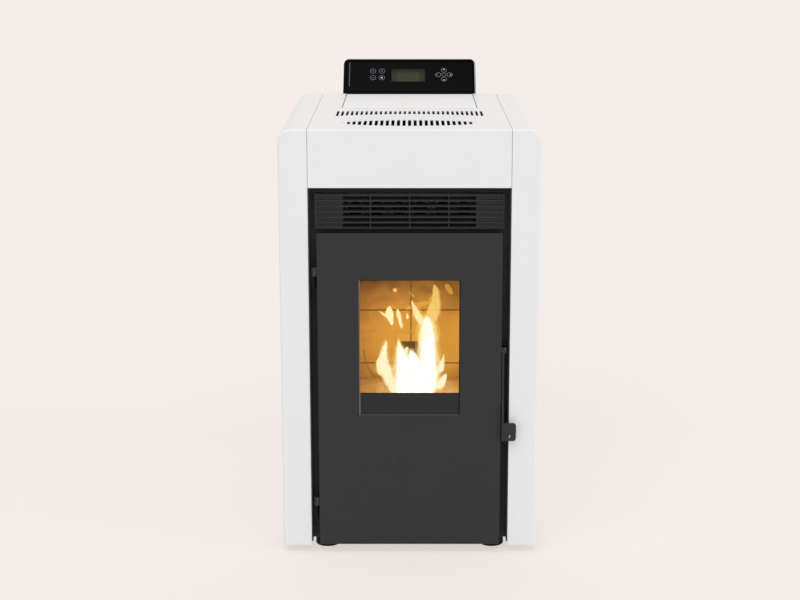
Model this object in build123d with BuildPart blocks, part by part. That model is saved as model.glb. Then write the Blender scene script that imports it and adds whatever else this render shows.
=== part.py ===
from build123d import *
from math import cos, radians, sin, tan
import os

os.makedirs("parts", exist_ok=True)

# Pellet stove. All sizes are in millimetres. X runs to the right, Y to the back, Z up.
# Inside the source a place is given by X, by its depth behind the front of the casing
# and by its height above the floor. Y = 0 lies in the middle of the whole stove.

# ---------------------------------------------------------------- driving dimensions
# casing
body_width = 480.0
body_height = 811.0
body_depth = 615.0
casing_sheet = 1.5
side_strip = 53.4
shoulder_radius = 22.0
panel_bottom = 14.5
seam_gap = 0.6
bend_radius = 3.5
fascia_height = 107.0
fascia_lip = 12.0

# slots of the top cover
rear_slot_count = 31
rear_slot_pitch = 9.34
rear_slot_width = 4.7
rear_slot_end = 291.0
rear_slot_long = 84.0
rear_slot_short = 51.0
front_slot_count = 25
front_slot_pitch = 10.36
front_slot_width = 5.8
front_slot_middle = 100.0
front_slot_long = 93.0
front_slot_short = 6.0

# hopper lid and its hinge
lid_side_margin = 105.6
lid_front = 345.0
lid_back_margin = 9.5
lid_flange = 10.0
lid_gap = 1.5
lid_pin_radius = 2.0
lid_pin_setback = 5.0
lid_pin_length = 18.0
lid_groove_length = 76.0
lid_groove_width = 4.5
lid_groove_depth = 0.7
lid_groove_place = 71.0

# control console
console_side_margin = 96.2
console_edge_rounding = 3.5
console_slope = 96.0
console_tilt = 45.0
console_back_run = 11.0
console_drop = 56.0
console_chin = 33.6
console_wall = 2.5
console_corner = 11.0
fascia_plate = 3.0
fascia_side_margin = 5.0
fascia_end_margin = 5.0
fascia_bevel = 2.2
screen_width = 72.7
screen_height = 37.8
screen_left = -39.5
screen_low = 33.9
screen_glass = 2.0
round_key_radius = 7.7
round_key_left = -79.6
round_key_low = 43.7
round_key_spacing_x = 19.2
round_key_spacing_u = 18.2
cross_x = 74.5
cross_u = 52.1
petal_radius = 7.0
petal_reach = 13.7
centre_key_radius = 5.8
key_gap = 0.35
key_proud = 0.8
key_stem_radius = 2.2
key_travel = 0.5
board_distance = 9.0
board_thickness = 1.6

# chassis
foot_radius = 23.5
foot_height = 33.0
foot_rounding = 2.5
foot_side_margin = 82.0
foot_front = 52.5
foot_back_margin = 50.0
foot_bolt_radius = 5.0
foot_bolt_length = 26.0
foot_nut_radius = 9.0
foot_nut_height = 6.0
chassis_sheet = 2.0
chassis_margin = 5.0
chassis_flange = 15.0
post_leg = 18.0
post_inset = 3.0
rear_panel_gap = 5.0
rear_panel_sheet = 1.5
service_top = 215.0
louvre_rows = 8
louvre_pitch = 15.0
louvre_length = 110.0
louvre_height = 5.0
louvre_low = 480.0

# dark front frame behind the door, and the openings in it
frame_sheet = 2.0
frame_depth = 26.0
frame_side_margin = 55.9
frame_bottom = 21.6
frame_flange = 22.0
frame_gap = 0.3
mouth_side_margin = 52.6
mouth_bottom = 305.0
mouth_top_margin = 60.9
ash_opening_bottom = 132.0
ash_opening_top = 236.0
outlet_side_margin = 52.5
outlet_height = 54.0
outlet_top_margin = 23.0

# outlet grille
grille_side_margin = 66.0
grille_bars = 7
grille_pitch = 10.17
grille_top_margin = 15.1
grille_bar_height = 2.6
grille_bar_depth = 12.0
grille_slant = 3.0
grille_front = 9.0
grille_divider_pitch = 72.0
grille_divider = 2.0

# fire door
door_side_margin = 69.4
door_bottom = 18.5
door_top_margin = 83.1
door_proud = 6.0
door_sheet = 3.0
door_rim = 14.0
door_rim_sheet = 2.0
door_top_step = 3.0
door_corner = 1.5
window_side_margin = 78.6
window_bottom = 276.0
window_top_margin = 88.9
window_bevel = 2.2
glass_thickness = 4.0
glass_overlap = 12.0
glass_tape = 1.5
door_plate = 3.0
window_rim_step = 8.0
rope_channel_wall = 2.0
rope_channel_depth = 8.0
rope_width = 12.0
rope_rounding = 4.8
rope_gap = 0.3
rope_margin_side = 10.0
rope_margin_end = 13.0
door_screw_x = 29.7
door_screw_z = 182.0
door_screw_radius = 2.6
door_screw_shank = 1.6
door_screw_head = 1.2

# door hinge and latch
hinge_side_gap = 6.8
hinge_depth = 0.0
hinge_knuckle_radius = 4.2
hinge_pin_radius = 2.5
hinge_bore_gap = 0.06
hinge_knuckle_length = 16.0
hinge_bracket_length = 24.0
hinge_neck = 3.0
hinge_knuckle_gap = 0.4
hinge_low = 95.0
hinge_top_margin = 80.9
latch_plate = 3.6
latch_gap = 1.9
latch_pivot_z = 398.0
latch_pivot_depth = 1.0
latch_pivot_radius = 2.5
latch_nut_radius = 3.8
latch_bore_gap = 0.08
latch_head_radius = 6.0
latch_head = 4.0
latch_bar_width = 15.0
latch_tab_low = 226.2
latch_tab_high = 261.1
latch_tab_overlap = 28.8
latch_tab_proud = 14.0
latch_tab_corner = 6.0
latch_tab_sheet = 2.4
latch_hole_radius = 3.2
latch_hole_inset = 13.4
latch_hole_rise = 8.8
catch_pin_radius = 4.0
catch_pin_depth = 15.0
catch_washer = 1.6
catch_washer_radius = 6.4
catch_pin_rise = 7.0
catch_gap = 0.6
hook_thickness = 3.0

# firebox and what stands in it
firebox_side_margin = 105.0
firebox_back = 215.0
firebox_bottom = 125.0
firebox_top_gap = 2.0
firebox_steel = 3.0
exchanger_height = 102.0
smoke_gap_front = 45.0
smoke_gap_depth = 40.0
brick_thickness = 12.0
brick_bottom = 290.0
brick_top_gap = 4.0
brick_joint = 3.0
brick_joint_rows = (321.0, 429.0, 537.0)
brick_joint_x = 2.8
brick_clearance = 0.3
baffle_thickness = 12.0
baffle_drop = 40.0
baffle_rise = 22.0
hearth_top = 287.0
hearth_thickness = 5.0
hearth_ledge = 6.0
pot_middle = 122.0
pot_width = 112.0
pot_length = 96.0
pot_depth = 55.0
pot_taper = 9.0
pot_wall = 5.0
pot_rim = 8.0
pot_rim_thickness = 4.0
pot_hole_radius = 2.5
pot_hole_pitch = 19.0
pot_hole_columns = 4
pot_hole_rows = 3
drawer_side_margin = 6.0
drawer_front = 32.0
drawer_back = 195.0
drawer_height = 92.0
drawer_sheet = 1.5
handle_reach = 11.5
handle_place = 69.0
handle_height = 14.0
drawer_runner = 5.0
drawer_clearance = 0.3
igniter_radius = 5.0
igniter_height = 256.0
igniter_length = 76.0

# heat exchanger and room air
tube_count = 6
tube_side_room = 30.0
tube_share = 0.8
tube_wall = 1.5
tube_drop = 41.0
tube_gap = 0.1
duct_sheet = 1.5
riser_depth = 40.0
riser_width = 90.0
riser_side_margin = 5.0
riser_bottom = 190.0
plenum_drop = 77.0
plenum_top_gap = 2.0
blower_axis_height = 115.0
blower_tongue = 52.0
blower_rear = 62.0
blower_low = 71.0
blower_reach = 85.0
blower_inlet_radius = 38.0
blower_wheel_radius = 45.0
blower_blade_depth = 9.0
blower_blades = 24
blower_blade_sheet = 1.5
blower_blade_turn = 25.0
blower_disc = 2.5
wheel_side_gap = 3.0
blower_shaft_radius = 4.0
shaft_hole_radius = 8.0
shaft_gap = 0.06
blower_motor_radius = 30.0
blower_motor_length = 48.0

# smoke side: duct, exhaust fan, flue
smoke_duct_width = 40.0
smoke_duct_front = 130.0
smoke_duct_bottom = 100.0
smoke_leg_top = 205.0
smoke_leg_back = 460.0
smoke_window_drop = 12.0
exhaust_axis_depth = 400.0
exhaust_axis_height = 150.0
exhaust_width = 50.0
exhaust_tongue = 54.0
exhaust_front = 64.0
exhaust_reach = 85.0
exhaust_outlet_height = 62.0
exhaust_outlet_depth = 500.0
exhaust_inlet_radius = 30.0
exhaust_wheel_radius = 46.0
exhaust_blades = 8
exhaust_blade_sheet = 2.0
exhaust_blade_middle = 26.7
exhaust_blade_length = 36.8
exhaust_hub_radius = 9.6
exhaust_disc = 2.5
exhaust_motor_radius = 38.0
exhaust_motor_length = 52.0
flue_radius = 40.0
flue_pipe_radius = 38.0
flue_wall = 1.5
flue_spigot_length = 62.5
flue_cone = 30.0
intake_radius = 25.0
intake_pipe_radius = 24.0
intake_x = 8.0
intake_height = 160.0
intake_spigot_length = 45.5
pipe_hole_gap = 2.0
spigot_step = 1.0

# pellet feed
hopper_side_margin = 10.4
hopper_front = 354.0
hopper_back_margin = 13.5
hopper_sheet = 1.5
hopper_top_gap = 8.0
hopper_box_height = 228.0
neck_half = 30.0
neck_front = 400.0
neck_back = 460.0
neck_bottom = 420.0
neck_flange = 8.0
rim_width = 7.0
seal_height = 6.2
ear_thickness = 2.0
guard_drop = 41.0
guard_bar = 3.0
guard_count = 9
auger_tilt = 45.0
auger_mouth_depth = 271.0
auger_mouth_height = 494.0
auger_tube_radius = 29.0
auger_tube_wall = 2.0
auger_end_plate = 3.0
auger_length = 310.0
auger_shaft_radius = 8.0
auger_flight_radius = 25.0
auger_pitch = 40.0
auger_flight = 3.0
auger_end_margin = 12.0
gearbox_width = 80.0
gearbox_height = 60.0
gearbox_length = 42.0
auger_motor_radius = 27.0
auger_motor_length = 40.0
chute_half_width = 30.0
chute_sheet = 2.0
chute_bottom = 334.0
chute_mouth_high = 384.0
chute_top = 542.0
chute_depth = 35.0

# electrics
inlet_side_margin = 90.0
inlet_z = 80.0
inlet_width = 50.0
inlet_height = 28.0
inlet_depth = 26.0
inlet_flange = 2.0
inlet_socket_width = 24.0
socket_depth = 16.0
switch_width = 13.0
switch_height = 20.0
switch_pocket = 10.0
contact_width = 2.0
contact_height = 4.0
contact_spread = 7.0
contact_length = 11.0
rocker_gap = 1.5
power_board_side_margin = 120.0
power_board_z = 330.0
power_board_width = 120.0
power_board_height = 150.0
power_board_standoff = 14.0
spacer_radius = 3.0
spacer_inset = 7.5
relay_count = 4
relay_pitch = 24.0
relay_width = 17.0
relay_height = 25.0
relay_drop = 45.0
transformer_x = 24.0
transformer_z = 30.0
transformer_width = 42.0
transformer_height = 45.0

# ---------------------------------------------------------------- places worked out
# widths that follow the casing
lid_half_width = body_width / 2 - lid_side_margin
console_width = body_width - 2 * console_side_margin
foot_x = body_width / 2 - foot_side_margin
frame_half_width = body_width / 2 - frame_side_margin
grille_half_width = body_width / 2 - grille_side_margin
outlet_half_width = grille_half_width - outlet_side_margin
door_half_width = body_width / 2 - door_side_margin
mouth_half_width = door_half_width - mouth_side_margin
window_half_width = door_half_width - window_side_margin
hinge_x = -door_half_width - hinge_side_gap
latch_tab_reach = door_half_width + latch_tab_overlap
firebox_half_width = body_width / 2 - firebox_side_margin
drawer_half_width = mouth_half_width - drawer_side_margin
tube_pitch = (2 * firebox_half_width - tube_side_room) / tube_count
tube_radius = tube_share * tube_pitch / 2
riser_right = firebox_half_width - riser_side_margin
riser_left = riser_right - riser_width
hopper_half_width = lid_half_width - hopper_side_margin
inlet_x = body_width / 2 - inlet_side_margin
power_board_x = body_width / 2 - power_board_side_margin

# heights that follow the top of the casing
fascia_bottom = body_height - fascia_height
outlet_top = fascia_bottom - outlet_top_margin
outlet_bottom = outlet_top - outlet_height
grille_top_bar = fascia_bottom - grille_top_margin
door_top = fascia_bottom - door_top_margin
rim_top = door_top - door_top_step
window_top = door_top - window_top_margin
mouth_top = door_top - mouth_top_margin
hinge_high = door_top - hinge_top_margin
firebox_top = fascia_bottom - firebox_top_gap
fire_ceiling = firebox_top - exchanger_height
brick_top = fire_ceiling - brick_top_gap
baffle_low = fire_ceiling - baffle_drop
tube_height = firebox_top - tube_drop
plenum_bottom = firebox_top - plenum_drop
plenum_top = firebox_top - plenum_top_gap
smoke_window_top = firebox_top - smoke_window_drop
hopper_top = body_height - hopper_top_gap
funnel_top = hopper_top - hopper_box_height
guard_height = hopper_top - guard_drop

# depths that follow the back of the casing
console_front = body_depth
lid_back = body_depth - lid_back_margin
hopper_back = lid_back - hopper_back_margin
console_rise = console_slope * sin(radians(console_tilt))
half_tilt = tan(radians(console_tilt / 2))
console_run = console_slope * cos(radians(console_tilt))
console_back = console_front + console_run + console_back_run
front_y = (latch_tab_proud - console_back) / 2
side_inner = body_width / 2 - side_strip
top_underside = body_height - casing_sheet
rear_panel_front = body_depth - casing_sheet - rear_panel_gap - rear_panel_sheet
chassis_top = foot_height + chassis_sheet
lid_pin_height = body_height - lid_flange / 2
lid_pin_depth = lid_back - lid_pin_setback
firebox_front = frame_depth + frame_sheet
firebox_inside = firebox_half_width - firebox_steel
firebox_back_inside = firebox_back - firebox_steel
door_back = door_rim - door_proud
latch_x = door_half_width + latch_gap
riser_back = firebox_back + duct_sheet + riser_depth
blower_axis_depth = firebox_back + blower_reach
exhaust_left = -firebox_half_width
exhaust_right = exhaust_left + exhaust_width
exhaust_outlet_low = exhaust_axis_height - exhaust_reach
spigot_start = rear_panel_front + rear_panel_sheet + spigot_step
flue_end = spigot_start + flue_spigot_length
intake_end = spigot_start + intake_spigot_length
cone_end = exhaust_outlet_depth + flue_cone
flue_x = (exhaust_left + exhaust_right) / 2
flue_height = exhaust_outlet_low + exhaust_outlet_height / 2


def facing(depth):
    """Plane that looks at the viewer: local x is X, local y is height."""
    return Plane((0, front_y + depth, 0), x_dir=(1, 0, 0), z_dir=(0, -1, 0))


def side(x):
    """Plane seen from the right: local x is depth, local y is height."""
    return Plane((x, front_y, 0), x_dir=(0, 1, 0), z_dir=(1, 0, 0))


def level(height):
    """Level plane: local x is X, local y is depth."""
    return Plane((0, front_y, height), x_dir=(1, 0, 0), z_dir=(0, 0, 1))


def rect(left, low, right, high, mode=Mode.ADD):
    """Rectangle between two opposite corners of the sketch in hand."""
    with Locations(((left + right) / 2, (low + high) / 2)):
        Rectangle(right - left, high - low, mode=mode)


def save(builder, name):
    """Label the finished piece and write it."""
    builder.part.label = name
    export_step(builder.part, "parts/" + name + ".step")


def save_welded(sheets, name):
    """Write the sheets and plates of a welded piece, which meet face to face."""
    welded = Compound([sheet.solid() for sheet in sheets], label=name)
    export_step(welded, "parts/" + name + ".step")


def plate(left, right, front, back, low, high):
    """Flat plate or bar between the given places."""
    with BuildPart() as flat:
        with BuildSketch(level(low)):
            rect(left, front, right, back)
        extrude(amount=high - low)
    return flat.part


def side_window(left, right, front, back, low, high, window):
    """Upright plates welded round a window, given as its front, back, foot and head."""
    window_front, window_back, foot, head = window
    return [plate(left, right, front, window_front, low, high),
            plate(left, right, window_back, back, low, high),
            plate(left, right, window_front, window_back, low, foot),
            plate(left, right, window_front, window_back, head, high)]


def bent(points, left, right):
    """Piece with the given outline of depths and heights, from left to right."""
    with BuildPart() as folded:
        with BuildSketch(side(left)):
            with BuildLine():
                Polyline(*points, close=True)
            make_face()
        extrude(amount=right - left)
    return folded.part


# ---------------------------------------------------------------- casing
def side_shell(grow):
    """Solid block of a side panel, drawn in by grow on its closed sides."""
    with BuildPart() as block:
        with BuildSketch(level(panel_bottom - (grow > 0))):
            rect(side_inner - (grow > 0), grow, body_width / 2 - grow, body_depth - grow)
        extrude(amount=body_height - grow - panel_bottom + (grow > 0))
        shoulder = block.edges().filter_by(Axis.Y).group_by(Axis.Z)[-1].sort_by(Axis.X)[-1]
        fillet(shoulder, shoulder_radius - grow)
        upright = block.edges().filter_by(Axis.Z).sort_by_distance((body_width, -body_depth, 0))[0]
        fillet(upright, bend_radius - grow)
    return block.part


with BuildPart() as right_side_panel:
    add(side_shell(0))
    add(side_shell(casing_sheet), mode=Mode.SUBTRACT)
save(right_side_panel, "right_side_panel")

with BuildPart() as left_side_panel:
    mirror(right_side_panel.part, about=Plane.YZ)
save(left_side_panel, "left_side_panel")

cover_half = side_inner - seam_gap


def lens(x, half_width):
    """Share of the full height that a lens shape has at x."""
    return 1 - (x / half_width) ** 2


def ellipse(x, half_width):
    """Share of the full height that an ellipse has at x."""
    return (1 - (x / half_width) ** 2) ** 0.5


with BuildPart() as top_cover:
    with BuildSketch(side(-cover_half)) as bent_sheet:
        rect(0, top_underside, body_depth, body_height)
        rect(0, fascia_bottom, casing_sheet, body_height)
        rect(0, fascia_bottom, fascia_lip, fascia_bottom + casing_sheet)
        fillet(bent_sheet.vertices().sort_by_distance((0, body_height))[0], bend_radius)
        fillet(bent_sheet.vertices().sort_by_distance((casing_sheet, top_underside))[0],
               bend_radius - casing_sheet)
    extrude(amount=2 * cover_half)
    rear_slots_half = (rear_slot_count - 1) / 2 * rear_slot_pitch
    front_slots_half = (front_slot_count - 1) / 2 * front_slot_pitch
    with BuildSketch(level(body_height)):
        for column in range(rear_slot_count):
            x = column * rear_slot_pitch - rear_slots_half
            length = rear_slot_long - (rear_slot_long - rear_slot_short) * lens(x, rear_slots_half)
            rect(x - rear_slot_width / 2, rear_slot_end - length, x + rear_slot_width / 2, rear_slot_end)
        for column in range(front_slot_count):
            x = column * front_slot_pitch - front_slots_half
            length = front_slot_short + (front_slot_long - front_slot_short) * ellipse(x, front_slots_half)
            rect(x - front_slot_width / 2, front_slot_middle - length / 2,
                 x + front_slot_width / 2, front_slot_middle + length / 2)
        rect(-lid_half_width - lid_gap, lid_front - lid_gap, lid_half_width + lid_gap, body_depth + 1)
    extrude(amount=-bend_radius, mode=Mode.SUBTRACT)
save(top_cover, "top_cover")

with BuildPart() as hopper_lid:
    with BuildSketch(level(body_height - lid_flange)):
        rect(-lid_half_width, lid_front, lid_half_width, lid_back)
    extrude(amount=lid_flange)
    fillet(hopper_lid.edges().filter_by(Axis.Z).group_by(Axis.Y)[0], casing_sheet)
    with BuildSketch(level(body_height - lid_flange)):
        rect(-lid_half_width + casing_sheet, lid_front + casing_sheet,
             lid_half_width - casing_sheet, lid_back + 1)
    extrude(amount=lid_flange - casing_sheet, mode=Mode.SUBTRACT)
    with BuildSketch(level(body_height)):
        with Locations((0, lid_front + lid_groove_place)):
            SlotOverall(lid_groove_length, lid_groove_width)
    extrude(amount=-lid_groove_depth, mode=Mode.SUBTRACT)
    with BuildSketch(side(-lid_half_width - 1)):
        with Locations((lid_pin_depth, lid_pin_height)):
            Circle(lid_pin_radius + hinge_bore_gap)
    extrude(amount=2 * lid_half_width + 2, mode=Mode.SUBTRACT)
save(hopper_lid, "hopper_lid")

# ---------------------------------------------------------------- hopper
# ear that carries a pin of the lid, outside the lid's flange
ear_inner = lid_half_width + hinge_bore_gap
lid_swing = (lid_pin_setback ** 2 + (lid_flange / 2) ** 2) ** 0.5
ear_low = lid_pin_height - lid_swing - key_gap - ear_thickness
ear_front = lid_pin_depth - lid_pin_setback
with BuildPart() as lid_ear:
    with BuildSketch(facing(ear_front)):
        rect(hopper_half_width, ear_low, ear_inner + ear_thickness, ear_low + ear_thickness)
        rect(ear_inner, ear_low, ear_inner + ear_thickness, top_underside - lid_gap)
    extrude(amount=-2 * lid_pin_setback)
    with BuildSketch(facing(hopper_back - lid_pin_setback)):
        rect(hopper_half_width, ear_low, ear_inner + ear_thickness, ear_low + ear_thickness)
    extrude(amount=-(ear_front - hopper_back + lid_pin_setback))
    # the pin on which the lid turns is riveted in the ear
    with BuildSketch(side(ear_inner + ear_thickness)):
        with Locations((lid_pin_depth, lid_pin_height)):
            Circle(lid_pin_radius)
    extrude(amount=-lid_pin_length / 2)

def funnel_wall(upper, lower):
    """Sloping wall of the hopper between an edge strip above and one below."""
    with BuildPart() as wall:
        for points, height in ((upper, funnel_top), (lower, neck_bottom)):
            with BuildSketch(level(height)):
                with BuildLine():
                    Polyline(*points, close=True)
                make_face()
        loft()
    return wall.part


def mitred(left, right, front, back):
    """Strips of the four edges of a rectangular sheet box, mitred at the corners."""
    outside = ((left, front), (right, front), (right, back), (left, back))
    left, right = left + hopper_sheet, right - hopper_sheet
    front, back = front + hopper_sheet, back - hopper_sheet
    inside = ((left, front), (right, front), (right, back), (left, back))
    return [(outside[k - 1], outside[k], inside[k], inside[k - 1]) for k in range(4)]


hopper_inside = hopper_half_width - hopper_sheet
hopper_walls = [plate(-hopper_half_width, hopper_half_width, hopper_front, hopper_front + hopper_sheet,
                      funnel_top, hopper_top),
                plate(-hopper_half_width, hopper_half_width, hopper_back - hopper_sheet, hopper_back,
                      funnel_top, hopper_top),
                plate(-hopper_half_width, -hopper_inside, hopper_front + hopper_sheet,
                      hopper_back - hopper_sheet, funnel_top, hopper_top),
                plate(hopper_inside, hopper_half_width, hopper_front + hopper_sheet,
                      hopper_back - hopper_sheet, funnel_top, hopper_top)]
funnel_strips = zip(mitred(-hopper_half_width, hopper_half_width, hopper_front, hopper_back),
                    mitred(-neck_half, neck_half, neck_front, neck_back))
funnel_walls = [funnel_wall(upper, lower) for upper, lower in funnel_strips]

# flange at the neck, fitted round the foot of the funnel
with BuildPart() as neck_plate:
    with BuildSketch(level(neck_bottom)):
        rect(-neck_half - neck_flange, neck_front - neck_flange,
             neck_half + neck_flange, neck_back + neck_flange)
    extrude(amount=chute_sheet)
    with BuildSketch(level(funnel_top)):
        rect(-hopper_half_width, hopper_front, hopper_half_width, hopper_back)
    with BuildSketch(level(neck_bottom)):
        rect(-neck_half, neck_front, neck_half, neck_back)
    loft(mode=Mode.SUBTRACT)

with BuildPart() as hopper_rim:
    with BuildSketch(level(hopper_top - hopper_sheet)):
        rect(-hopper_half_width - rim_width, hopper_front - rim_width,
             hopper_half_width + rim_width, hopper_back + rim_width / 2)
        rect(-hopper_half_width, hopper_front, hopper_half_width, hopper_back, mode=Mode.SUBTRACT)
    extrude(amount=hopper_sheet)
with BuildPart() as left_ear:
    mirror(lid_ear.part, about=Plane.YZ)
save_welded(hopper_walls + funnel_walls + [neck_plate.part, hopper_rim.part, lid_ear.part, left_ear.part],
            "hopper")

rim_half = hopper_half_width + rim_width
rim_front = hopper_front - rim_width
rim_back = hopper_back + rim_width / 2
with BuildPart() as lid_seal:
    with BuildSketch(level(hopper_top)):
        rect(-rim_half, rim_front, rim_half, rim_back)
        rect(-rim_half + rim_width, rim_front + rim_width, rim_half - rim_width, rim_back - rim_width,
             mode=Mode.SUBTRACT)
    extrude(amount=seal_height)
save(lid_seal, "lid_seal")

guard_half = hopper_half_width - hopper_sheet
guard_front = hopper_front + hopper_sheet
guard_back = hopper_back - hopper_sheet
with BuildPart() as hopper_guard:
    with BuildSketch(level(guard_height)):
        rect(-guard_half, guard_front, guard_half, guard_back)
        rect(-guard_half + guard_bar, guard_front + guard_bar, guard_half - guard_bar,
             guard_back - guard_bar, mode=Mode.SUBTRACT)
        for bar in range(guard_count):
            x = (bar + 1) * 2 * guard_half / (guard_count + 1) - guard_half
            rect(x - guard_bar / 2, guard_front, x + guard_bar / 2, guard_back)
    extrude(amount=guard_bar)
save(hopper_guard, "hopper_guard")

# ---------------------------------------------------------------- control console
# the sloping face: local x is X, local y runs up the slope, z points at the viewer
console_face = Plane((0, front_y + console_front, body_height),
                     x_dir=(1, 0, 0), z_dir=(0, -sin(radians(console_tilt)), cos(radians(console_tilt))))
console_half = console_width / 2
console_top = body_height + console_rise
console_foot = body_height - console_drop
console_seat = rear_panel_front + rear_panel_sheet
console_ledge = body_height - lid_flange - casing_sheet

with BuildPart() as console_housing:
    for grow in (0, console_wall):
        mode = Mode.SUBTRACT if grow else Mode.ADD
        with BuildSketch(side(-console_half + grow)) as wedge:
            with BuildLine():
                Polyline((console_seat + grow, console_foot + grow), (console_seat + grow, console_ledge),
                         (console_front + grow, console_ledge),
                         (console_front + grow, body_height - grow * half_tilt),
                         (console_front + console_run + grow * half_tilt, console_top - grow),
                         (console_back - grow, console_top - grow),
                         (console_back - grow, body_height - console_drop / 2 + grow * half_tilt),
                         (console_seat + console_chin + grow, console_foot + grow), close=True)
            make_face()
        extrude(amount=console_width - 2 * grow, mode=mode)
        if not grow:
            tips = console_housing.edges().filter_by(Axis.Y).group_by(Axis.Z)[-1]
            fillet(tips, console_corner)
            slopes = console_housing.edges().filter_by(Axis(console_face.origin, console_face.y_dir))
            fillet(slopes, console_edge_rounding)
    with BuildSketch(console_face):
        rect(-console_half + fascia_side_margin, fascia_end_margin,
             console_half - fascia_side_margin, console_slope - fascia_end_margin)
    extrude(amount=-fascia_plate - console_wall, mode=Mode.SUBTRACT)
save(console_housing, "console_housing")


def round_key_places():
    """Centres of the four round keys on the sloping face."""
    return [(round_key_left + i * round_key_spacing_x, round_key_low + j * round_key_spacing_u)
            for j in (1, 0) for i in (0, 1)]


petal_turns = {"up": (0, 1), "down": (0, -1), "left": (-1, 0), "right": (1, 0)}


def petal_sketch(turn, grow):
    """Petal of the cross of keys: a disc with a bite taken out by the centre key."""
    with BuildSketch() as petal:
        with Locations((cross_x + turn[0] * petal_reach, cross_u + turn[1] * petal_reach)):
            Circle(petal_radius + grow)
        with Locations((cross_x, cross_u)):
            Circle(centre_key_radius + key_gap * 2 - grow, mode=Mode.SUBTRACT)
    return petal.sketch


with BuildPart() as console_fascia:
    with BuildSketch(console_face.offset(-fascia_plate)):
        rect(-console_half + fascia_side_margin + key_gap, fascia_end_margin + key_gap,
             console_half - fascia_side_margin - key_gap, console_slope - fascia_end_margin - key_gap)
    extrude(amount=fascia_plate)
    outer_face = console_fascia.faces().sort_by(Axis(console_face.origin, console_face.z_dir))[-1]
    chamfer(outer_face.edges(), fascia_bevel)
    with BuildSketch(console_face.offset(-fascia_plate)):
        rect(screen_left, screen_low, screen_left + screen_width, screen_low + screen_height)
        with Locations(*round_key_places()):
            Circle(round_key_radius + key_gap)
        for turn in petal_turns.values():
            add(petal_sketch(turn, key_gap))
        with Locations((cross_x, cross_u)):
            Circle(centre_key_radius + key_gap)
    extrude(amount=fascia_plate, mode=Mode.SUBTRACT)
save(console_fascia, "console_fascia")

with BuildPart() as screen:
    with BuildSketch(console_face.offset(-fascia_plate)):
        rect(screen_left, screen_low, screen_left + screen_width, screen_low + screen_height)
    extrude(amount=screen_glass)
save(screen, "display_window")

# keys: a cap in the fascia, a thin back plate behind it and a stem towards the board
stem_end = fascia_plate + board_distance - key_travel * 2


def save_key(outline, centre, name):
    """Key with the given outline, its stem at the given place."""
    with BuildPart() as key:
        with BuildSketch(console_face.offset(-fascia_plate)):
            add(outline)
        extrude(amount=fascia_plate + key_proud)
        with BuildSketch(console_face.offset(-fascia_plate)):
            with Locations(centre):
                Circle(key_stem_radius)
        extrude(amount=-(stem_end - fascia_plate))
        save(key, name)


for number, place in enumerate(round_key_places(), start=1):
    with BuildSketch() as disc:
        with Locations(place):
            Circle(round_key_radius)
    save_key(disc.sketch, place, "round_key_" + str(number))
for word, turn in petal_turns.items():
    stem = (cross_x + turn[0] * petal_reach, cross_u + turn[1] * petal_reach)
    save_key(petal_sketch(turn, 0), stem, "petal_key_" + word)
with BuildSketch() as disc:
    with Locations((cross_x, cross_u)):
        Circle(centre_key_radius)
save_key(disc.sketch, (cross_x, cross_u), "centre_key")

board_face = console_face.offset(-fascia_plate - board_distance)
with BuildPart() as display_board:
    with BuildSketch(board_face):
        rect(-console_half + 3 * fascia_side_margin, screen_low - 2 * fascia_end_margin,
             console_half - 6 * fascia_side_margin, screen_low + screen_height + 2 * fascia_end_margin)
    extrude(amount=-board_thickness)
    with BuildSketch(board_face):
        rect(screen_left, screen_low, screen_left + screen_width, screen_low + screen_height)
    extrude(amount=board_distance)
    # posts that carry the board on the back of the fascia
    with BuildSketch(board_face):
        with Locations((-console_half + 4 * fascia_side_margin, cross_u),
                       (console_half - 7 * fascia_side_margin, cross_u)):
            Circle(key_stem_radius)
    extrude(amount=board_distance)
save(display_board, "display_board")

# ---------------------------------------------------------------- chassis
chassis_half = body_width / 2 - casing_sheet - chassis_margin / 2
chassis_back = rear_panel_front
foot_back = body_depth - foot_back_margin


def foot_places():
    """Centres of the four feet, as X and depth."""
    return [(x, depth) for depth in (foot_front, foot_back) for x in (-foot_x, foot_x)]


with BuildPart() as base_pan:
    with BuildSketch(level(foot_height)):
        rect(-chassis_half, chassis_margin, chassis_half, chassis_back)
    extrude(amount=chassis_sheet)
    with BuildSketch(level(foot_height)):
        rect(-chassis_half, chassis_margin, chassis_half, chassis_back)
        rect(-chassis_half + chassis_sheet, chassis_margin - 1, chassis_half - chassis_sheet,
             chassis_back - chassis_sheet, mode=Mode.SUBTRACT)
    extrude(amount=chassis_flange)
    with BuildSketch(level(foot_height)):
        rect(-frame_half_width - frame_sheet, 0, frame_half_width + frame_sheet, firebox_front)
    extrude(amount=chassis_flange, mode=Mode.SUBTRACT)
    with BuildSketch(level(foot_height)):
        with Locations(*foot_places()):
            Circle(foot_bolt_radius)
    extrude(amount=chassis_sheet, mode=Mode.SUBTRACT)
save(base_pan, "base_pan")

with BuildPart() as levelling_feet:
    with BuildSketch(level(0)):
        with Locations(*foot_places()):
            Circle(foot_radius)
    extrude(amount=foot_height)
    fillet(levelling_feet.edges().group_by(Axis.Z)[0], foot_rounding)
    # stud with its nut on the chassis
    with BuildSketch(level(foot_height)):
        with Locations(*foot_places()):
            Circle(foot_bolt_radius)
    extrude(amount=foot_bolt_length)
    with BuildSketch(level(chassis_top)):
        with Locations(*foot_places()):
            RegularPolygon(foot_nut_radius, 6)
    extrude(amount=foot_nut_height)
save(levelling_feet, "levelling_feet")

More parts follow.
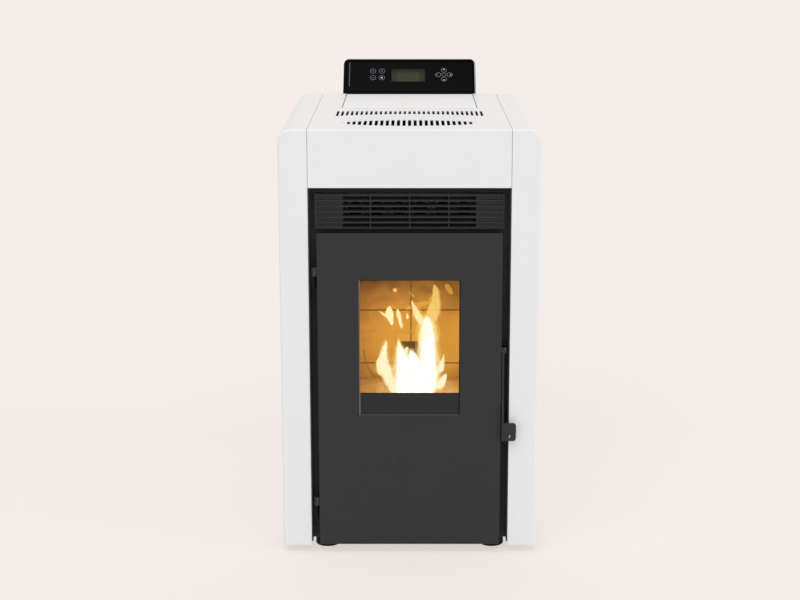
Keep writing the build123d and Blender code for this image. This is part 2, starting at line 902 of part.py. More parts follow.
post_outer = side_inner + post_inset + post_leg
with BuildPart() as corner_posts:
    for depth, turn in ((chassis_margin + chassis_sheet, 1), (chassis_back - chassis_sheet, -1)):
        with BuildSketch(level(chassis_top)):
            low, high = sorted((depth, depth + turn * post_leg))
            rect(side_inner + post_inset, low, post_outer, high)
            cut_low, cut_high = sorted((depth + turn * chassis_sheet, depth + turn * (post_leg + 1)))
            rect(side_inner + post_inset - 1, cut_low, post_outer - chassis_sheet, cut_high,
                 mode=Mode.SUBTRACT)
        extrude(amount=top_underside - chassis_top)
    mirror(about=Plane.YZ)
save(corner_posts, "corner_posts")

with BuildPart() as rear_cover:
    with BuildSketch(facing(rear_panel_front)):
        rect(-post_outer, service_top, post_outer, top_underside)
        rect(-ear_inner - 2 * ear_thickness, console_ledge - lid_flange / 2, ear_inner + 2 * ear_thickness,
             body_height, mode=Mode.SUBTRACT)
        for turn in (-1, 1):
            for row in range(louvre_rows):
                with Locations((turn * post_outer / 2, louvre_low + row * louvre_pitch)):
                    SlotOverall(louvre_length, louvre_height, mode=Mode.SUBTRACT)
    extrude(amount=-rear_panel_sheet)
# the lower sheet, which comes off by itself to reach the fans
with BuildPart() as service_sheet:
    with BuildSketch(facing(rear_panel_front)):
        rect(-post_outer, foot_height, post_outer, service_top)
        with Locations((flue_x, flue_height)):
            Circle(flue_radius + pipe_hole_gap, mode=Mode.SUBTRACT)
        with Locations((intake_x, intake_height)):
            Circle(intake_radius + pipe_hole_gap, mode=Mode.SUBTRACT)
        rect(inlet_x - inlet_width / 2 + inlet_flange, inlet_z - inlet_height / 2 + inlet_flange,
             inlet_x + inlet_width / 2 - inlet_flange, inlet_z + inlet_height / 2 - inlet_flange,
             mode=Mode.SUBTRACT)
    extrude(amount=-rear_panel_sheet)
save_welded([rear_cover.part, service_sheet.part], "rear_panel")

# ---------------------------------------------------------------- dark front frame
strip_inner = frame_half_width + frame_sheet
with BuildPart() as front_frame:
    with BuildSketch(level(frame_bottom)):
        rect(-strip_inner, frame_depth, strip_inner, firebox_front)
        for turn in (-1, 1):
            with Locations((turn * (frame_half_width + frame_sheet / 2),
                            (casing_sheet + frame_gap + firebox_front) / 2)):
                Rectangle(frame_sheet, firebox_front - casing_sheet - frame_gap)
            with Locations((turn * (strip_inner + frame_flange / 2 - 1),
                            casing_sheet + frame_gap + frame_sheet / 2)):
                Rectangle(frame_flange + 2, frame_sheet)
    extrude(amount=fascia_bottom - frame_bottom)
    with BuildSketch(facing(frame_depth)):
        rect(-mouth_half_width, mouth_bottom, mouth_half_width, mouth_top)
        rect(-mouth_half_width, ash_opening_bottom, mouth_half_width, ash_opening_top)
        rect(-outlet_half_width, outlet_bottom, outlet_half_width, outlet_top)
    extrude(amount=-frame_sheet, mode=Mode.SUBTRACT)
save(front_frame, "front_frame")

grille_back = grille_front + grille_bar_depth
with BuildPart() as outlet_grille:
    for bar in range(grille_bars):
        height = grille_top_bar - bar * grille_pitch
        with BuildSketch(side(-grille_half_width)):
            with BuildLine():
                Polyline((grille_front, height - grille_bar_height / 2),
                         (grille_back, height - grille_bar_height / 2 + grille_slant),
                         (grille_back, height + grille_bar_height / 2 + grille_slant),
                         (grille_front, height + grille_bar_height / 2), close=True)
            make_face()
        extrude(amount=2 * grille_half_width)
    grille_low = grille_top_bar - (grille_bars - 1) * grille_pitch - grille_bar_height / 2
    grille_high = grille_top_bar + grille_bar_height / 2 + grille_slant
    with BuildSketch(facing(grille_front + grille_divider)):
        for column in (-1, 0, 1):
            x = column * grille_divider_pitch
            rect(x - grille_divider / 2, grille_low, x + grille_divider / 2, grille_high)
    extrude(amount=-(grille_bar_depth - grille_divider))
    # end plates, bent back against the front frame
    with BuildSketch(facing(grille_front)):
        for turn in (-1, 1):
            with Locations((turn * (grille_half_width - grille_divider / 2),
                            (grille_low + grille_high) / 2)):
                Rectangle(grille_divider, grille_high - grille_low)
    extrude(amount=-(frame_depth - grille_front))
save(outlet_grille, "outlet_grille")

# ---------------------------------------------------------------- fire door
rim_inner = door_half_width - door_rim_sheet
rope_half = mouth_half_width + rope_margin_side + rope_width
rope_low = ash_opening_bottom - rope_margin_end - rope_width
rope_high = mouth_top + rope_margin_end + rope_width
glass_half = window_half_width + glass_overlap
glass_low = window_bottom - glass_overlap
glass_high = window_top + glass_overlap
glass_front = -door_proud + door_sheet + glass_tape
glass_rear = glass_front + glass_thickness


def knuckle_heights():
    """Lower ends of the hinge knuckles that turn with the door."""
    return (hinge_low, hinge_high)


with BuildPart() as door_panel:
    with BuildSketch(facing(-door_proud)):
        rect(-door_half_width, door_bottom, door_half_width, door_top)
    extrude(amount=-door_rim)
    fillet(door_panel.edges().filter_by(Axis.Y), door_corner)
    with BuildSketch(facing(-door_proud + door_sheet)):
        rect(-rim_inner, door_bottom + door_rim_sheet, rim_inner, rim_top - door_rim_sheet)
        rect(-door_half_width - 1, rim_top, door_half_width + 1, door_top + 1)
    extrude(amount=-door_rim, mode=Mode.SUBTRACT)
    with BuildSketch(facing(-door_proud)):
        rect(-window_half_width, window_bottom, window_half_width, window_top)
    extrude(amount=-door_sheet, mode=Mode.SUBTRACT)
    window_edges = door_panel.faces().sort_by(Axis.Y)[0].inner_wires().edges()
    chamfer(window_edges, window_bevel)
    for height in knuckle_heights():
        with BuildSketch(level(height)):
            with Locations((hinge_x, hinge_depth)):
                Circle(hinge_knuckle_radius)
            rect(hinge_x, hinge_depth - hinge_pin_radius, -door_half_width, hinge_depth + hinge_pin_radius)
        extrude(amount=hinge_knuckle_length)
        with BuildSketch(level(height)):
            with Locations((hinge_x, hinge_depth)):
                Circle(hinge_pin_radius + hinge_bore_gap)
        extrude(amount=hinge_knuckle_length, mode=Mode.SUBTRACT)
    with BuildSketch(facing(-door_proud)):
        with Locations((-door_screw_x, door_screw_z), (door_screw_x, door_screw_z)):
            Circle(door_screw_shank)
    extrude(amount=-door_sheet, mode=Mode.SUBTRACT)
    with BuildSketch(side(rim_inner - 1)):
        with Locations((latch_pivot_depth, latch_pivot_z)):
            Circle(latch_pivot_radius)
    extrude(amount=door_rim_sheet + 2, mode=Mode.SUBTRACT)
save(door_panel, "door_panel")

with BuildPart() as glass_gasket:
    with BuildSketch(facing(-door_proud + door_sheet)):
        rect(-glass_half, glass_low, glass_half, glass_high)
        rect(-window_half_width, window_bottom, window_half_width, window_top, mode=Mode.SUBTRACT)
    extrude(amount=-glass_tape)
save(glass_gasket, "glass_gasket")

with BuildPart() as door_glass:
    with BuildSketch(facing(glass_front)):
        rect(-glass_half, glass_low, glass_half, glass_high)
    extrude(amount=-glass_thickness)
save(door_glass, "door_glass")

with BuildPart() as door_frame:
    with BuildSketch(facing(door_back - door_plate)):
        rect(-rim_inner, door_bottom + door_rim_sheet, rim_inner, rim_top - door_rim_sheet)
    extrude(amount=-door_plate)
    # rim that presses the glass against the door panel
    with BuildSketch(facing(glass_rear)):
        rect(-glass_half, glass_low, glass_half, glass_high)
    extrude(amount=-(door_back - glass_rear))
    with BuildSketch(facing(glass_rear)):
        rect(-glass_half + window_rim_step, glass_low + window_rim_step,
             glass_half - window_rim_step, glass_high - window_rim_step)
    extrude(amount=-(door_back - glass_rear + door_plate), mode=Mode.SUBTRACT)
    # channel of the rope seal
    with BuildSketch(facing(door_back)):
        rect(-rope_half - rope_channel_wall, rope_low - rope_channel_wall,
             rope_half + rope_channel_wall, rope_high + rope_channel_wall)
        rect(-rope_half, rope_low, rope_half, rope_high, mode=Mode.SUBTRACT)
        rect(-rope_half + rope_width, rope_low + rope_width, rope_half - rope_width, rope_high - rope_width)
        rect(-rope_half + rope_width + rope_channel_wall, rope_low + rope_width + rope_channel_wall,
             rope_half - rope_width - rope_channel_wall, rope_high - rope_width - rope_channel_wall,
             mode=Mode.SUBTRACT)
    extrude(amount=-rope_channel_depth)
save(door_frame, "door_frame")

with BuildPart() as door_rope_seal:
    with BuildSketch(facing(door_back)):
        rect(-rope_half, rope_low, rope_half, rope_high)
        rect(-rope_half + rope_width, rope_low + rope_width, rope_half - rope_width, rope_high - rope_width,
             mode=Mode.SUBTRACT)
    extrude(amount=-(frame_depth - rope_gap - door_back))
    rope_face = door_rope_seal.faces().sort_by(Axis.Y)[-1]
    fillet(rope_face.edges(), rope_rounding)
save(door_rope_seal, "door_rope_seal")

with BuildPart() as door_screws:
    with BuildSketch(facing(-door_proud - door_screw_head)):
        with Locations((-door_screw_x, door_screw_z), (door_screw_x, door_screw_z)):
            Circle(door_screw_radius)
    extrude(amount=-door_screw_head)
    fillet(door_screws.edges().group_by(Axis.Y)[0], door_screw_head / 2)
    with BuildSketch(facing(-door_proud)):
        with Locations((-door_screw_x, door_screw_z), (door_screw_x, door_screw_z)):
            Circle(door_screw_shank)
    extrude(amount=-door_rim + door_plate)
save(door_screws, "door_screws")

# lift-off hinges: a bracket on the frame under each knuckle of the door, with an upright pin
with BuildPart() as hinge_brackets:
    for height in knuckle_heights():
        with BuildSketch(level(height - hinge_knuckle_gap)):
            with Locations((hinge_x, hinge_depth)):
                Circle(hinge_knuckle_radius)
            with BuildLine():
                Polyline((hinge_x, hinge_depth - hinge_neck),
                         (hinge_x + hinge_neck, hinge_depth),
                         (-frame_half_width + hinge_knuckle_radius, frame_depth),
                         (-frame_half_width, frame_depth),
                         (-frame_half_width, hinge_depth + casing_sheet * 2), close=True)
            make_face()
        extrude(amount=-hinge_bracket_length)
        with BuildSketch(level(height - hinge_knuckle_gap)):
            with Locations((hinge_x, hinge_depth)):
                Circle(hinge_pin_radius)
        extrude(amount=hinge_knuckle_gap + hinge_knuckle_length + hinge_pin_radius)
save(hinge_brackets, "hinge_brackets")

# ---------------------------------------------------------------- latch
catch_z = latch_pivot_z + catch_pin_rise
hook_front = catch_pin_depth + catch_pin_radius + catch_gap
hook_low = catch_z - catch_pin_radius - catch_gap - hook_thickness
bar_back = -latch_tab_proud + latch_bar_width
with BuildPart() as latch_lever:
    with BuildSketch(side(latch_x)):
        with BuildLine():
            Polyline((-latch_tab_proud, latch_tab_low), (bar_back - latch_bar_width / 2, latch_tab_low),
                     (bar_back, latch_tab_low + latch_bar_width),
                     (latch_pivot_depth + latch_head_radius, hook_low),
                     (hook_front + hook_thickness, hook_low),
                     (hook_front + hook_thickness, catch_z + catch_pin_radius / 2),
                     (hook_front, catch_z + catch_pin_radius / 2), (hook_front, hook_low + hook_thickness),
                     (latch_pivot_depth + latch_head_radius, hook_low + hook_thickness),
                     (latch_pivot_depth + latch_head_radius / 2, latch_pivot_z + latch_head_radius),
                     (latch_pivot_depth - latch_head_radius, latch_pivot_z + latch_head_radius),
                     (latch_pivot_depth - latch_head_radius, latch_tab_high + latch_bar_width * 3),
                     (-latch_tab_proud, latch_tab_high + latch_bar_width), close=True)
        make_face()
    extrude(amount=latch_plate)
    with BuildSketch(facing(-latch_tab_proud)):
        rect(latch_x, latch_tab_low, latch_tab_reach, latch_tab_high)
    extrude(amount=-latch_tab_sheet)
    tips = latch_lever.edges().filter_by(Axis.Y).group_by(Axis.X)[-1]
    fillet(tips, latch_tab_corner)
    with BuildSketch(facing(-latch_tab_proud)):
        with Locations((latch_tab_reach - latch_hole_inset, latch_tab_low + latch_hole_rise)):
            Circle(latch_hole_radius)
    extrude(amount=-latch_bar_width, mode=Mode.SUBTRACT)
    with BuildSketch(side(latch_x)):
        with Locations((latch_pivot_depth, latch_pivot_z)):
            Circle(latch_pivot_radius + latch_bore_gap)
    extrude(amount=latch_plate, mode=Mode.SUBTRACT)
save(latch_lever, "latch_lever")

with BuildPart() as latch_pivot:
    with BuildSketch(side(rim_inner - latch_head)):
        with Locations((latch_pivot_depth, latch_pivot_z)):
            RegularPolygon(latch_nut_radius, 6)
    extrude(amount=latch_head)
    with BuildSketch(side(rim_inner)):
        with Locations((latch_pivot_depth, latch_pivot_z)):
            Circle(latch_pivot_radius)
    extrude(amount=door_rim_sheet + latch_gap + latch_plate + latch_bore_gap)
    with BuildSketch(side(latch_x + latch_plate + latch_bore_gap)):
        with Locations((latch_pivot_depth, latch_pivot_z)):
            Circle(latch_head_radius)
    extrude(amount=latch_head)
    # spacer between the door and the lever
    with BuildSketch(side(door_half_width)):
        with Locations((latch_pivot_depth, latch_pivot_z)):
            Circle(latch_head_radius)
    extrude(amount=latch_gap - latch_bore_gap)
save(latch_pivot, "latch_pivot")

with BuildPart() as latch_catch:
    with BuildSketch(side(latch_x - latch_gap / 2)):
        with Locations((catch_pin_depth, catch_z)):
            Circle(catch_pin_radius)
    extrude(amount=frame_half_width - latch_x + latch_gap / 2)
    with BuildSketch(side(frame_half_width - catch_washer)):
        with Locations((catch_pin_depth, catch_z)):
            Circle(catch_washer_radius)
    extrude(amount=catch_washer)
save(latch_catch, "latch_catch")

# ---------------------------------------------------------------- firebox
def tube_places():
    """Centres of the heat exchanger tubes, as X and height."""
    return [((k - (tube_count - 1) / 2) * tube_pitch, tube_height) for k in range(tube_count)]


ledge_top = hearth_top - hearth_thickness
floor_top = firebox_bottom + firebox_steel
smoke_duct_right = -firebox_half_width
smoke_duct_left = smoke_duct_right - smoke_duct_width
auger_direction = (-cos(radians(auger_tilt)), sin(radians(auger_tilt)))
auger_start_depth = auger_mouth_depth - auger_direction[0] * auger_length
auger_start_height = auger_mouth_height - auger_direction[1] * auger_length
auger_axis = Plane((0, front_y + auger_start_depth, auger_start_height), x_dir=(1, 0, 0),
                   z_dir=(0, auger_direction[0], auger_direction[1]))

smoke_window = (smoke_duct_front + duct_sheet, firebox_back_inside - duct_sheet, plenum_bottom,
                smoke_window_top)
left_walls = side_window(-firebox_half_width, -firebox_inside, firebox_front, firebox_back, firebox_bottom,
                         firebox_top, smoke_window)

# the roof of the fire room is welded from strips round the gap that lets the smoke rise
smoke_gap_back = smoke_gap_front + smoke_gap_depth
roof_strips = [(-firebox_inside, firebox_inside, firebox_front, smoke_gap_front),
               (-firebox_inside, firebox_inside, smoke_gap_back, firebox_back_inside),
               (-firebox_inside, -mouth_half_width, smoke_gap_front, smoke_gap_back),
               (mouth_half_width, firebox_inside, smoke_gap_front, smoke_gap_back)]
fire_roof = [plate(*strip, fire_ceiling, fire_ceiling + firebox_steel) for strip in roof_strips]


def tube_sheet(front, thickness, left, right, low, high):
    """Plate in which the heat exchanger tubes end."""
    with BuildPart() as sheet:
        with BuildSketch(facing(front)):
            rect(left, low, right, high)
            with Locations(*tube_places()):
                Circle(tube_radius + tube_gap, mode=Mode.SUBTRACT)
        extrude(amount=-thickness)
    return sheet.part


with BuildPart() as lower_back:
    with BuildSketch(facing(firebox_back_inside)):
        rect(-firebox_inside, floor_top, firebox_inside, ledge_top)
        with Locations((intake_x, intake_height)):
            Circle(intake_pipe_radius - duct_sheet, mode=Mode.SUBTRACT)
        with Locations((0, igniter_height)):
            Circle(igniter_radius, mode=Mode.SUBTRACT)
    extrude(amount=-firebox_steel)

chute_inside = chute_half_width - chute_sheet
with BuildPart() as middle_back:
    with BuildSketch(facing(firebox_back_inside)):
        rect(-firebox_inside, ledge_top, firebox_inside, fire_ceiling + firebox_steel)
        rect(-chute_inside, chute_bottom + chute_sheet, chute_inside, chute_mouth_high, mode=Mode.SUBTRACT)
    extrude(amount=-firebox_steel)

roof_low = firebox_top - firebox_steel
exchanger_low = fire_ceiling + firebox_steel
runner_middle = drawer_half_width - 2 * drawer_runner
firebox_plates = left_walls + fire_roof
firebox_plates += [lower_back.part, middle_back.part,
                   plate(firebox_inside, firebox_half_width, firebox_front, firebox_back, firebox_bottom,
                         firebox_top),
                   plate(-firebox_inside, firebox_inside, firebox_front, firebox_back, firebox_bottom,
                         floor_top),
                   plate(-firebox_inside, firebox_inside, firebox_front, firebox_back, roof_low,
                         firebox_top),
                   tube_sheet(firebox_front, firebox_steel, -firebox_inside, firebox_inside,
                              exchanger_low, roof_low),
                   tube_sheet(firebox_back_inside, firebox_steel, -firebox_inside, firebox_inside,
                              exchanger_low, roof_low)]
# ledges under the hearth plate and runners under the ash drawer
for turn in (-1, 1):
    ledge_left, ledge_right = sorted((turn * (firebox_inside - hearth_ledge), turn * firebox_inside))
    firebox_plates.append(plate(ledge_left, ledge_right, firebox_front, firebox_back_inside,
                                ledge_top - hearth_ledge, ledge_top))
    firebox_plates.append(plate(turn * runner_middle - drawer_runner, turn * runner_middle + drawer_runner,
                                firebox_front, firebox_back_inside, floor_top, floor_top + drawer_runner))

# channel in which the pellets drop to the fire, from the mouth of the feed tube
mouth_rise = auger_tube_radius * auger_direction[1]
mouth_near = auger_mouth_depth - mouth_rise
mouth_low = auger_mouth_height - mouth_rise
mouth_far = auger_mouth_depth + mouth_rise
mouth_high = auger_mouth_height + mouth_rise
chute_outline = [(firebox_back, chute_bottom), (firebox_back, chute_top),
                 (mouth_far + chute_sheet, chute_top), (mouth_far + chute_sheet, mouth_high + chute_sheet),
                 (mouth_near, mouth_low), (mouth_near + chute_sheet, mouth_low - chute_sheet),
                 (mouth_near + chute_sheet, chute_mouth_high)]
firebox_plates += [bent(chute_outline, -chute_half_width, -chute_inside),
                   bent(chute_outline, chute_inside, chute_half_width),
                   plate(-chute_inside, chute_inside, firebox_back, mouth_far + chute_sheet,
                         chute_top - chute_sheet, chute_top),
                   bent([(mouth_far, mouth_high), (mouth_far + chute_sheet, mouth_high + chute_sheet),
                         (mouth_far + chute_sheet, chute_top - chute_sheet),
                         (mouth_far, chute_top - chute_sheet)], -chute_inside, chute_inside),
                   bent([(mouth_near, mouth_low), (mouth_near + chute_sheet, mouth_low - chute_sheet),
                         (mouth_near + chute_sheet, chute_mouth_high), (mouth_near, chute_mouth_high)],
                        -chute_inside, chute_inside),
                   bent([(mouth_near, chute_mouth_high), (mouth_near + chute_sheet, chute_mouth_high),
                         (firebox_back, chute_bottom), (firebox_back, chute_bottom + chute_sheet)],
                        -chute_inside, chute_inside)]
save_welded(firebox_plates, "firebox")

with BuildPart() as exchanger_tubes:
    with BuildSketch(facing(firebox_front)):
        with Locations(*tube_places()):
            Circle(tube_radius)
            Circle(tube_radius - tube_wall, mode=Mode.SUBTRACT)
    extrude(amount=-(firebox_back + duct_sheet - firebox_front))
save(exchanger_tubes, "exchanger_tubes")

brick_back_front = firebox_back_inside - brick_thickness
with BuildPart() as rear_fire_brick:
    with BuildSketch(facing(brick_back_front)):
        rect(-firebox_inside + brick_clearance, brick_bottom, firebox_inside - brick_clearance, brick_top)
        rect(-chute_half_width + chute_sheet, chute_bottom + chute_sheet, chute_half_width - chute_sheet,
             chute_mouth_high, mode=Mode.SUBTRACT)
    extrude(amount=-brick_thickness)
    with BuildSketch(facing(brick_back_front)):
        for row in brick_joint_rows:
            rect(-firebox_half_width, row - brick_joint / 2, firebox_half_width, row + brick_joint / 2)
        rect(brick_joint_x - brick_joint / 2, chute_mouth_high + brick_joint,
             brick_joint_x + brick_joint / 2, brick_top)
    extrude(amount=-brick_joint, mode=Mode.SUBTRACT)
save(rear_fire_brick, "rear_fire_brick")

with BuildPart() as side_fire_bricks:
    with BuildSketch(facing(firebox_front + brick_joint)):
        rect(firebox_inside - brick_thickness, brick_bottom, firebox_inside - brick_clearance, brick_top)
    extrude(amount=-(brick_back_front - brick_clearance - firebox_front - brick_joint))
    with BuildSketch(facing(firebox_front + brick_joint)):
        for row in brick_joint_rows:
            rect(firebox_inside - brick_thickness, row - brick_joint / 2,
                 firebox_inside - brick_thickness + brick_joint, row + brick_joint / 2)
    extrude(amount=-(firebox_back - firebox_front), mode=Mode.SUBTRACT)
    mirror(about=Plane.YZ)
save(side_fire_bricks, "side_fire_bricks")

baffle_half = firebox_inside - brick_thickness - brick_clearance
baffle_front = smoke_gap_back
with BuildPart() as baffle_plate:
    with BuildSketch(side(-baffle_half)):
        with BuildLine():
            Polyline((baffle_front, baffle_low + baffle_rise),
                     (brick_back_front - brick_clearance, baffle_low),
                     (brick_back_front - brick_clearance, baffle_low + baffle_thickness),
                     (baffle_front, baffle_low + baffle_rise + baffle_thickness), close=True)
        make_face()
    extrude(amount=2 * baffle_half)
save(baffle_plate, "baffle_plate")

with BuildPart() as hearth_plate:
    with BuildSketch(level(ledge_top)):
        rect(-firebox_inside + brick_clearance, firebox_front + brick_clearance,
             firebox_inside - brick_clearance, firebox_back_inside - brick_clearance)
        with Locations((0, pot_middle)):
            RectangleRounded(pot_width + brick_clearance * 2, pot_length + brick_clearance * 2, pot_taper,
                             mode=Mode.SUBTRACT)
    extrude(amount=hearth_thickness)
save(hearth_plate, "hearth_plate")

pot_base = hearth_top - pot_depth
with BuildPart() as burn_pot:
    with BuildSketch(level(hearth_top)):
        with Locations((0, pot_middle)):
            RectangleRounded(pot_width, pot_length, pot_taper)
    with BuildSketch(level(pot_base)):
        with Locations((0, pot_middle)):
            RectangleRounded(pot_width - 2 * pot_taper, pot_length - 2 * pot_taper, pot_taper)
    loft()
    with BuildSketch(level(hearth_top)):
        with Locations((0, pot_middle)):
            RectangleRounded(pot_width + 2 * pot_rim, pot_length + 2 * pot_rim, pot_taper)
    extrude(amount=pot_rim_thickness)
    with BuildSketch(level(hearth_top + pot_rim_thickness)):
        with Locations((0, pot_middle)):
            RectangleRounded(pot_width - 2 * pot_wall, pot_length - 2 * pot_wall, pot_taper - 1)
    with BuildSketch(level(pot_base + pot_wall)):
        with Locations((0, pot_middle)):
            RectangleRounded(pot_width - 2 * pot_taper - 2 * pot_wall,
                             pot_length - 2 * pot_taper - 2 * pot_wall, pot_taper - 1)
    loft(mode=Mode.SUBTRACT)
    with BuildSketch(level(pot_base)):
        with Locations((0, pot_middle)):
            with GridLocations(pot_hole_pitch, pot_hole_pitch, pot_hole_columns, pot_hole_rows):
                Circle(pot_hole_radius)
    extrude(amount=pot_wall, mode=Mode.SUBTRACT)
    with BuildSketch(facing(pot_middle)):
        with Locations((0, igniter_height)):
            Circle(igniter_radius + tube_gap)
    extrude(amount=-pot_length, mode=Mode.SUBTRACT)
save(burn_pot, "burn_pot")

igniter_front = pot_middle + pot_length / 2 - pot_taper
with BuildPart() as igniter:
    with BuildSketch(facing(igniter_front)):
        with Locations((0, igniter_height)):
            Circle(igniter_radius)
    extrude(amount=-(firebox_back + igniter_length / 2 - igniter_front))
    with BuildSketch(facing(firebox_back)):
        with Locations((0, igniter_height)):
            Circle(igniter_radius * 2)
    extrude(amount=-igniter_length / 4)
save(igniter, "igniter")

drawer_low = floor_top + drawer_runner + drawer_clearance
handle_high = drawer_low + handle_place
handle_low = handle_high - handle_height
with BuildPart() as ash_drawer:
    with BuildSketch(level(drawer_low)):
        rect(-drawer_half_width, drawer_front, drawer_half_width, drawer_back)
    extrude(amount=drawer_height)
    with BuildSketch(level(drawer_low + drawer_sheet)):
        rect(-drawer_half_width + drawer_sheet, drawer_front + drawer_sheet,
             drawer_half_width - drawer_sheet, drawer_back - drawer_sheet)
    extrude(amount=drawer_height, mode=Mode.SUBTRACT)
    # bent handle on the front wall
    with BuildSketch(side(-drawer_half_width / 3)):
        with BuildLine():
            Polyline((drawer_front, handle_high),
                     (drawer_front - handle_reach, handle_high),
                     (drawer_front - handle_reach, handle_low),
                     (drawer_front - handle_reach + drawer_sheet, handle_low),
                     (drawer_front - handle_reach + drawer_sheet, handle_high - drawer_sheet),
                     (drawer_front, handle_high - drawer_sheet), close=True)
        make_face()
    extrude(amount=drawer_half_width * 2 / 3)
save(ash_drawer, "ash_drawer")

# ---------------------------------------------------------------- room air
def scroll(centre, radii, open_quarter, outlet):
    """Outline of a fan scroll: three quarter ellipses that grow round the axis, and an outlet.

    The radii are those behind, above, in front of and below the axis."""
    with BuildSketch() as outline:
        with BuildLine():
            arcs = []
            for step in (1, 2, 3):
                quarter = (open_quarter + step) % 4
                across, up = radii[quarter], radii[(quarter + 1) % 4]
                if quarter % 2:
                    across, up = up, across
                arcs.append(EllipticalCenterArc(centre, across, up, start_angle=90 * quarter, arc_size=90))
            Polyline(arcs[-1] @ 1, *outlet, arcs[0] @ 0)
        make_face()
    return outline.sketch


def blower_outline(wall):
    """Scroll of the room air blower, drawn in by wall; its outlet points up at the front."""
    radii = [radius - wall for radius in (blower_rear, blower_tongue, blower_reach, blower_low)]
    top = riser_bottom + wall
    outlet = ((riser_back - wall, blower_axis_height + blower_tongue + 5 * duct_sheet),
              (riser_back - wall, top), (firebox_back + wall, top))
    return scroll((blower_axis_depth, blower_axis_height), radii, 1, outlet)


def exhaust_outline(wall):
    """Scroll of the smoke fan, drawn in by wall; its outlet points back at the bottom."""
    radii = [radius - wall for radius in
             (exhaust_tongue, exhaust_tongue + 3 * duct_sheet, exhaust_front, exhaust_reach)]
    end = exhaust_outlet_depth + wall
    outlet = ((end, exhaust_outlet_low + wall), (end, outlet_high - wall),
              (exhaust_axis_depth + exhaust_tongue + 2 * duct_sheet, outlet_high - wall))
    return scroll((exhaust_axis_depth, exhaust_axis_height), radii, 3, outlet)


with BuildPart() as blower_housing:
    with BuildSketch(side(riser_left)):
        add(blower_outline(0))
    extrude(amount=riser_right - riser_left)
    with BuildSketch(side(riser_left + duct_sheet)):
        add(blower_outline(duct_sheet))
    extrude(amount=riser_right - riser_left - 2 * duct_sheet, mode=Mode.SUBTRACT)
    with BuildSketch(side(riser_left)):
        with Locations((blower_axis_depth, blower_axis_height)):
            Circle(blower_inlet_radius)
    extrude(amount=duct_sheet, mode=Mode.SUBTRACT)
    with BuildSketch(side(riser_right - duct_sheet)):
        with Locations((blower_axis_depth, blower_axis_height)):
            Circle(shaft_hole_radius)
    extrude(amount=duct_sheet, mode=Mode.SUBTRACT)
save(blower_housing, "blower_housing")

wheel_left = riser_left + duct_sheet + wheel_side_gap
wheel_right = riser_right - duct_sheet - wheel_side_gap
with BuildPart() as blower_wheel:
    with BuildSketch(side(wheel_left)):
        with Locations((blower_axis_depth, blower_axis_height)):
            Circle(blower_wheel_radius)
            Circle(blower_wheel_radius - blower_blade_depth, mode=Mode.SUBTRACT)
    extrude(amount=blower_disc)
    with BuildSketch(side(wheel_right - blower_disc)):
        with Locations((blower_axis_depth, blower_axis_height)):
            Circle(blower_wheel_radius)
    extrude(amount=blower_disc)
    with BuildSketch(side(wheel_left)):
        with Locations((blower_axis_depth, blower_axis_height)):
            with PolarLocations(blower_wheel_radius - blower_blade_depth / 2 - blower_blade_sheet / 2,
                                blower_blades):
                Rectangle(blower_blade_depth - blower_blade_sheet, blower_blade_sheet,
                          rotation=blower_blade_turn)
    extrude(amount=wheel_right - wheel_left)
    with BuildSketch(side(wheel_right - blower_disc)):
        with Locations((blower_axis_depth, blower_axis_height)):
            Circle(blower_shaft_radius)
    extrude(amount=riser_right - wheel_right + blower_disc + blower_motor_length / 2)
save(blower_wheel, "blower_wheel")

with BuildPart() as blower_motor:
    with BuildSketch(side(riser_right)):
        with Locations((blower_axis_depth, blower_axis_height)):
            Circle(blower_motor_radius)
    extrude(amount=blower_motor_length)
    fillet(blower_motor.edges().group_by(Axis.X)[-1], blower_shaft_radius)
    with BuildSketch(side(riser_right)):
        with Locations((blower_axis_depth, blower_axis_height)):
            Circle(blower_shaft_radius + shaft_gap)
    extrude(amount=blower_motor_length / 2 + 2 * shaft_gap, mode=Mode.SUBTRACT)
save(blower_motor, "blower_motor")

plenum_left = -firebox_half_width
riser_near = firebox_back + duct_sheet
riser_far = riser_back - duct_sheet
riser_sheets = [tube_sheet(firebox_back, duct_sheet, plenum_left, riser_right, plenum_bottom, plenum_top),
                plate(riser_left, riser_right, firebox_back, riser_near, riser_bottom, plenum_bottom),
                plate(riser_left, riser_right, riser_far, riser_back, riser_bottom, plenum_bottom),
                plate(plenum_left, riser_right, riser_far, riser_back, plenum_bottom, plenum_top),
                plate(riser_left, riser_left + duct_sheet, riser_near, riser_far, riser_bottom,
                      plenum_bottom),
                plate(riser_right - duct_sheet, riser_right, riser_near, riser_far, riser_bottom,
                      plenum_top),
                plate(plenum_left, riser_left + duct_sheet, riser_near, riser_far, plenum_bottom,
                      plenum_bottom + duct_sheet),
                plate(plenum_left, plenum_left + duct_sheet, riser_near, riser_far,
                      plenum_bottom + duct_sheet, plenum_top),
                plate(plenum_left + duct_sheet, riser_right - duct_sheet, riser_near, riser_far,
                      plenum_top - duct_sheet, plenum_top)]
save_welded(riser_sheets, "air_riser")

# ---------------------------------------------------------------- smoke side
duct_in_left = smoke_duct_left + duct_sheet
duct_in_right = smoke_duct_right - duct_sheet
duct_rear = firebox_back_inside - duct_sheet
leg_rear = smoke_leg_back - duct_sheet
duct_floor = smoke_duct_bottom + duct_sheet
fan_sheet_front = exhaust_axis_depth - exhaust_tongue


def eye_sheet(low, high):
    """Part of the duct's inner side between two heights, with its share of the fan's round eye."""
    with BuildPart() as sheet:
        with BuildSketch(side(duct_in_right)):
            rect(fan_sheet_front, low, smoke_leg_back, high)
            with Locations((exhaust_axis_depth, exhaust_axis_height)):
                Circle(exhaust_inlet_radius, mode=Mode.SUBTRACT)
        extrude(amount=duct_sheet)
    return sheet.part


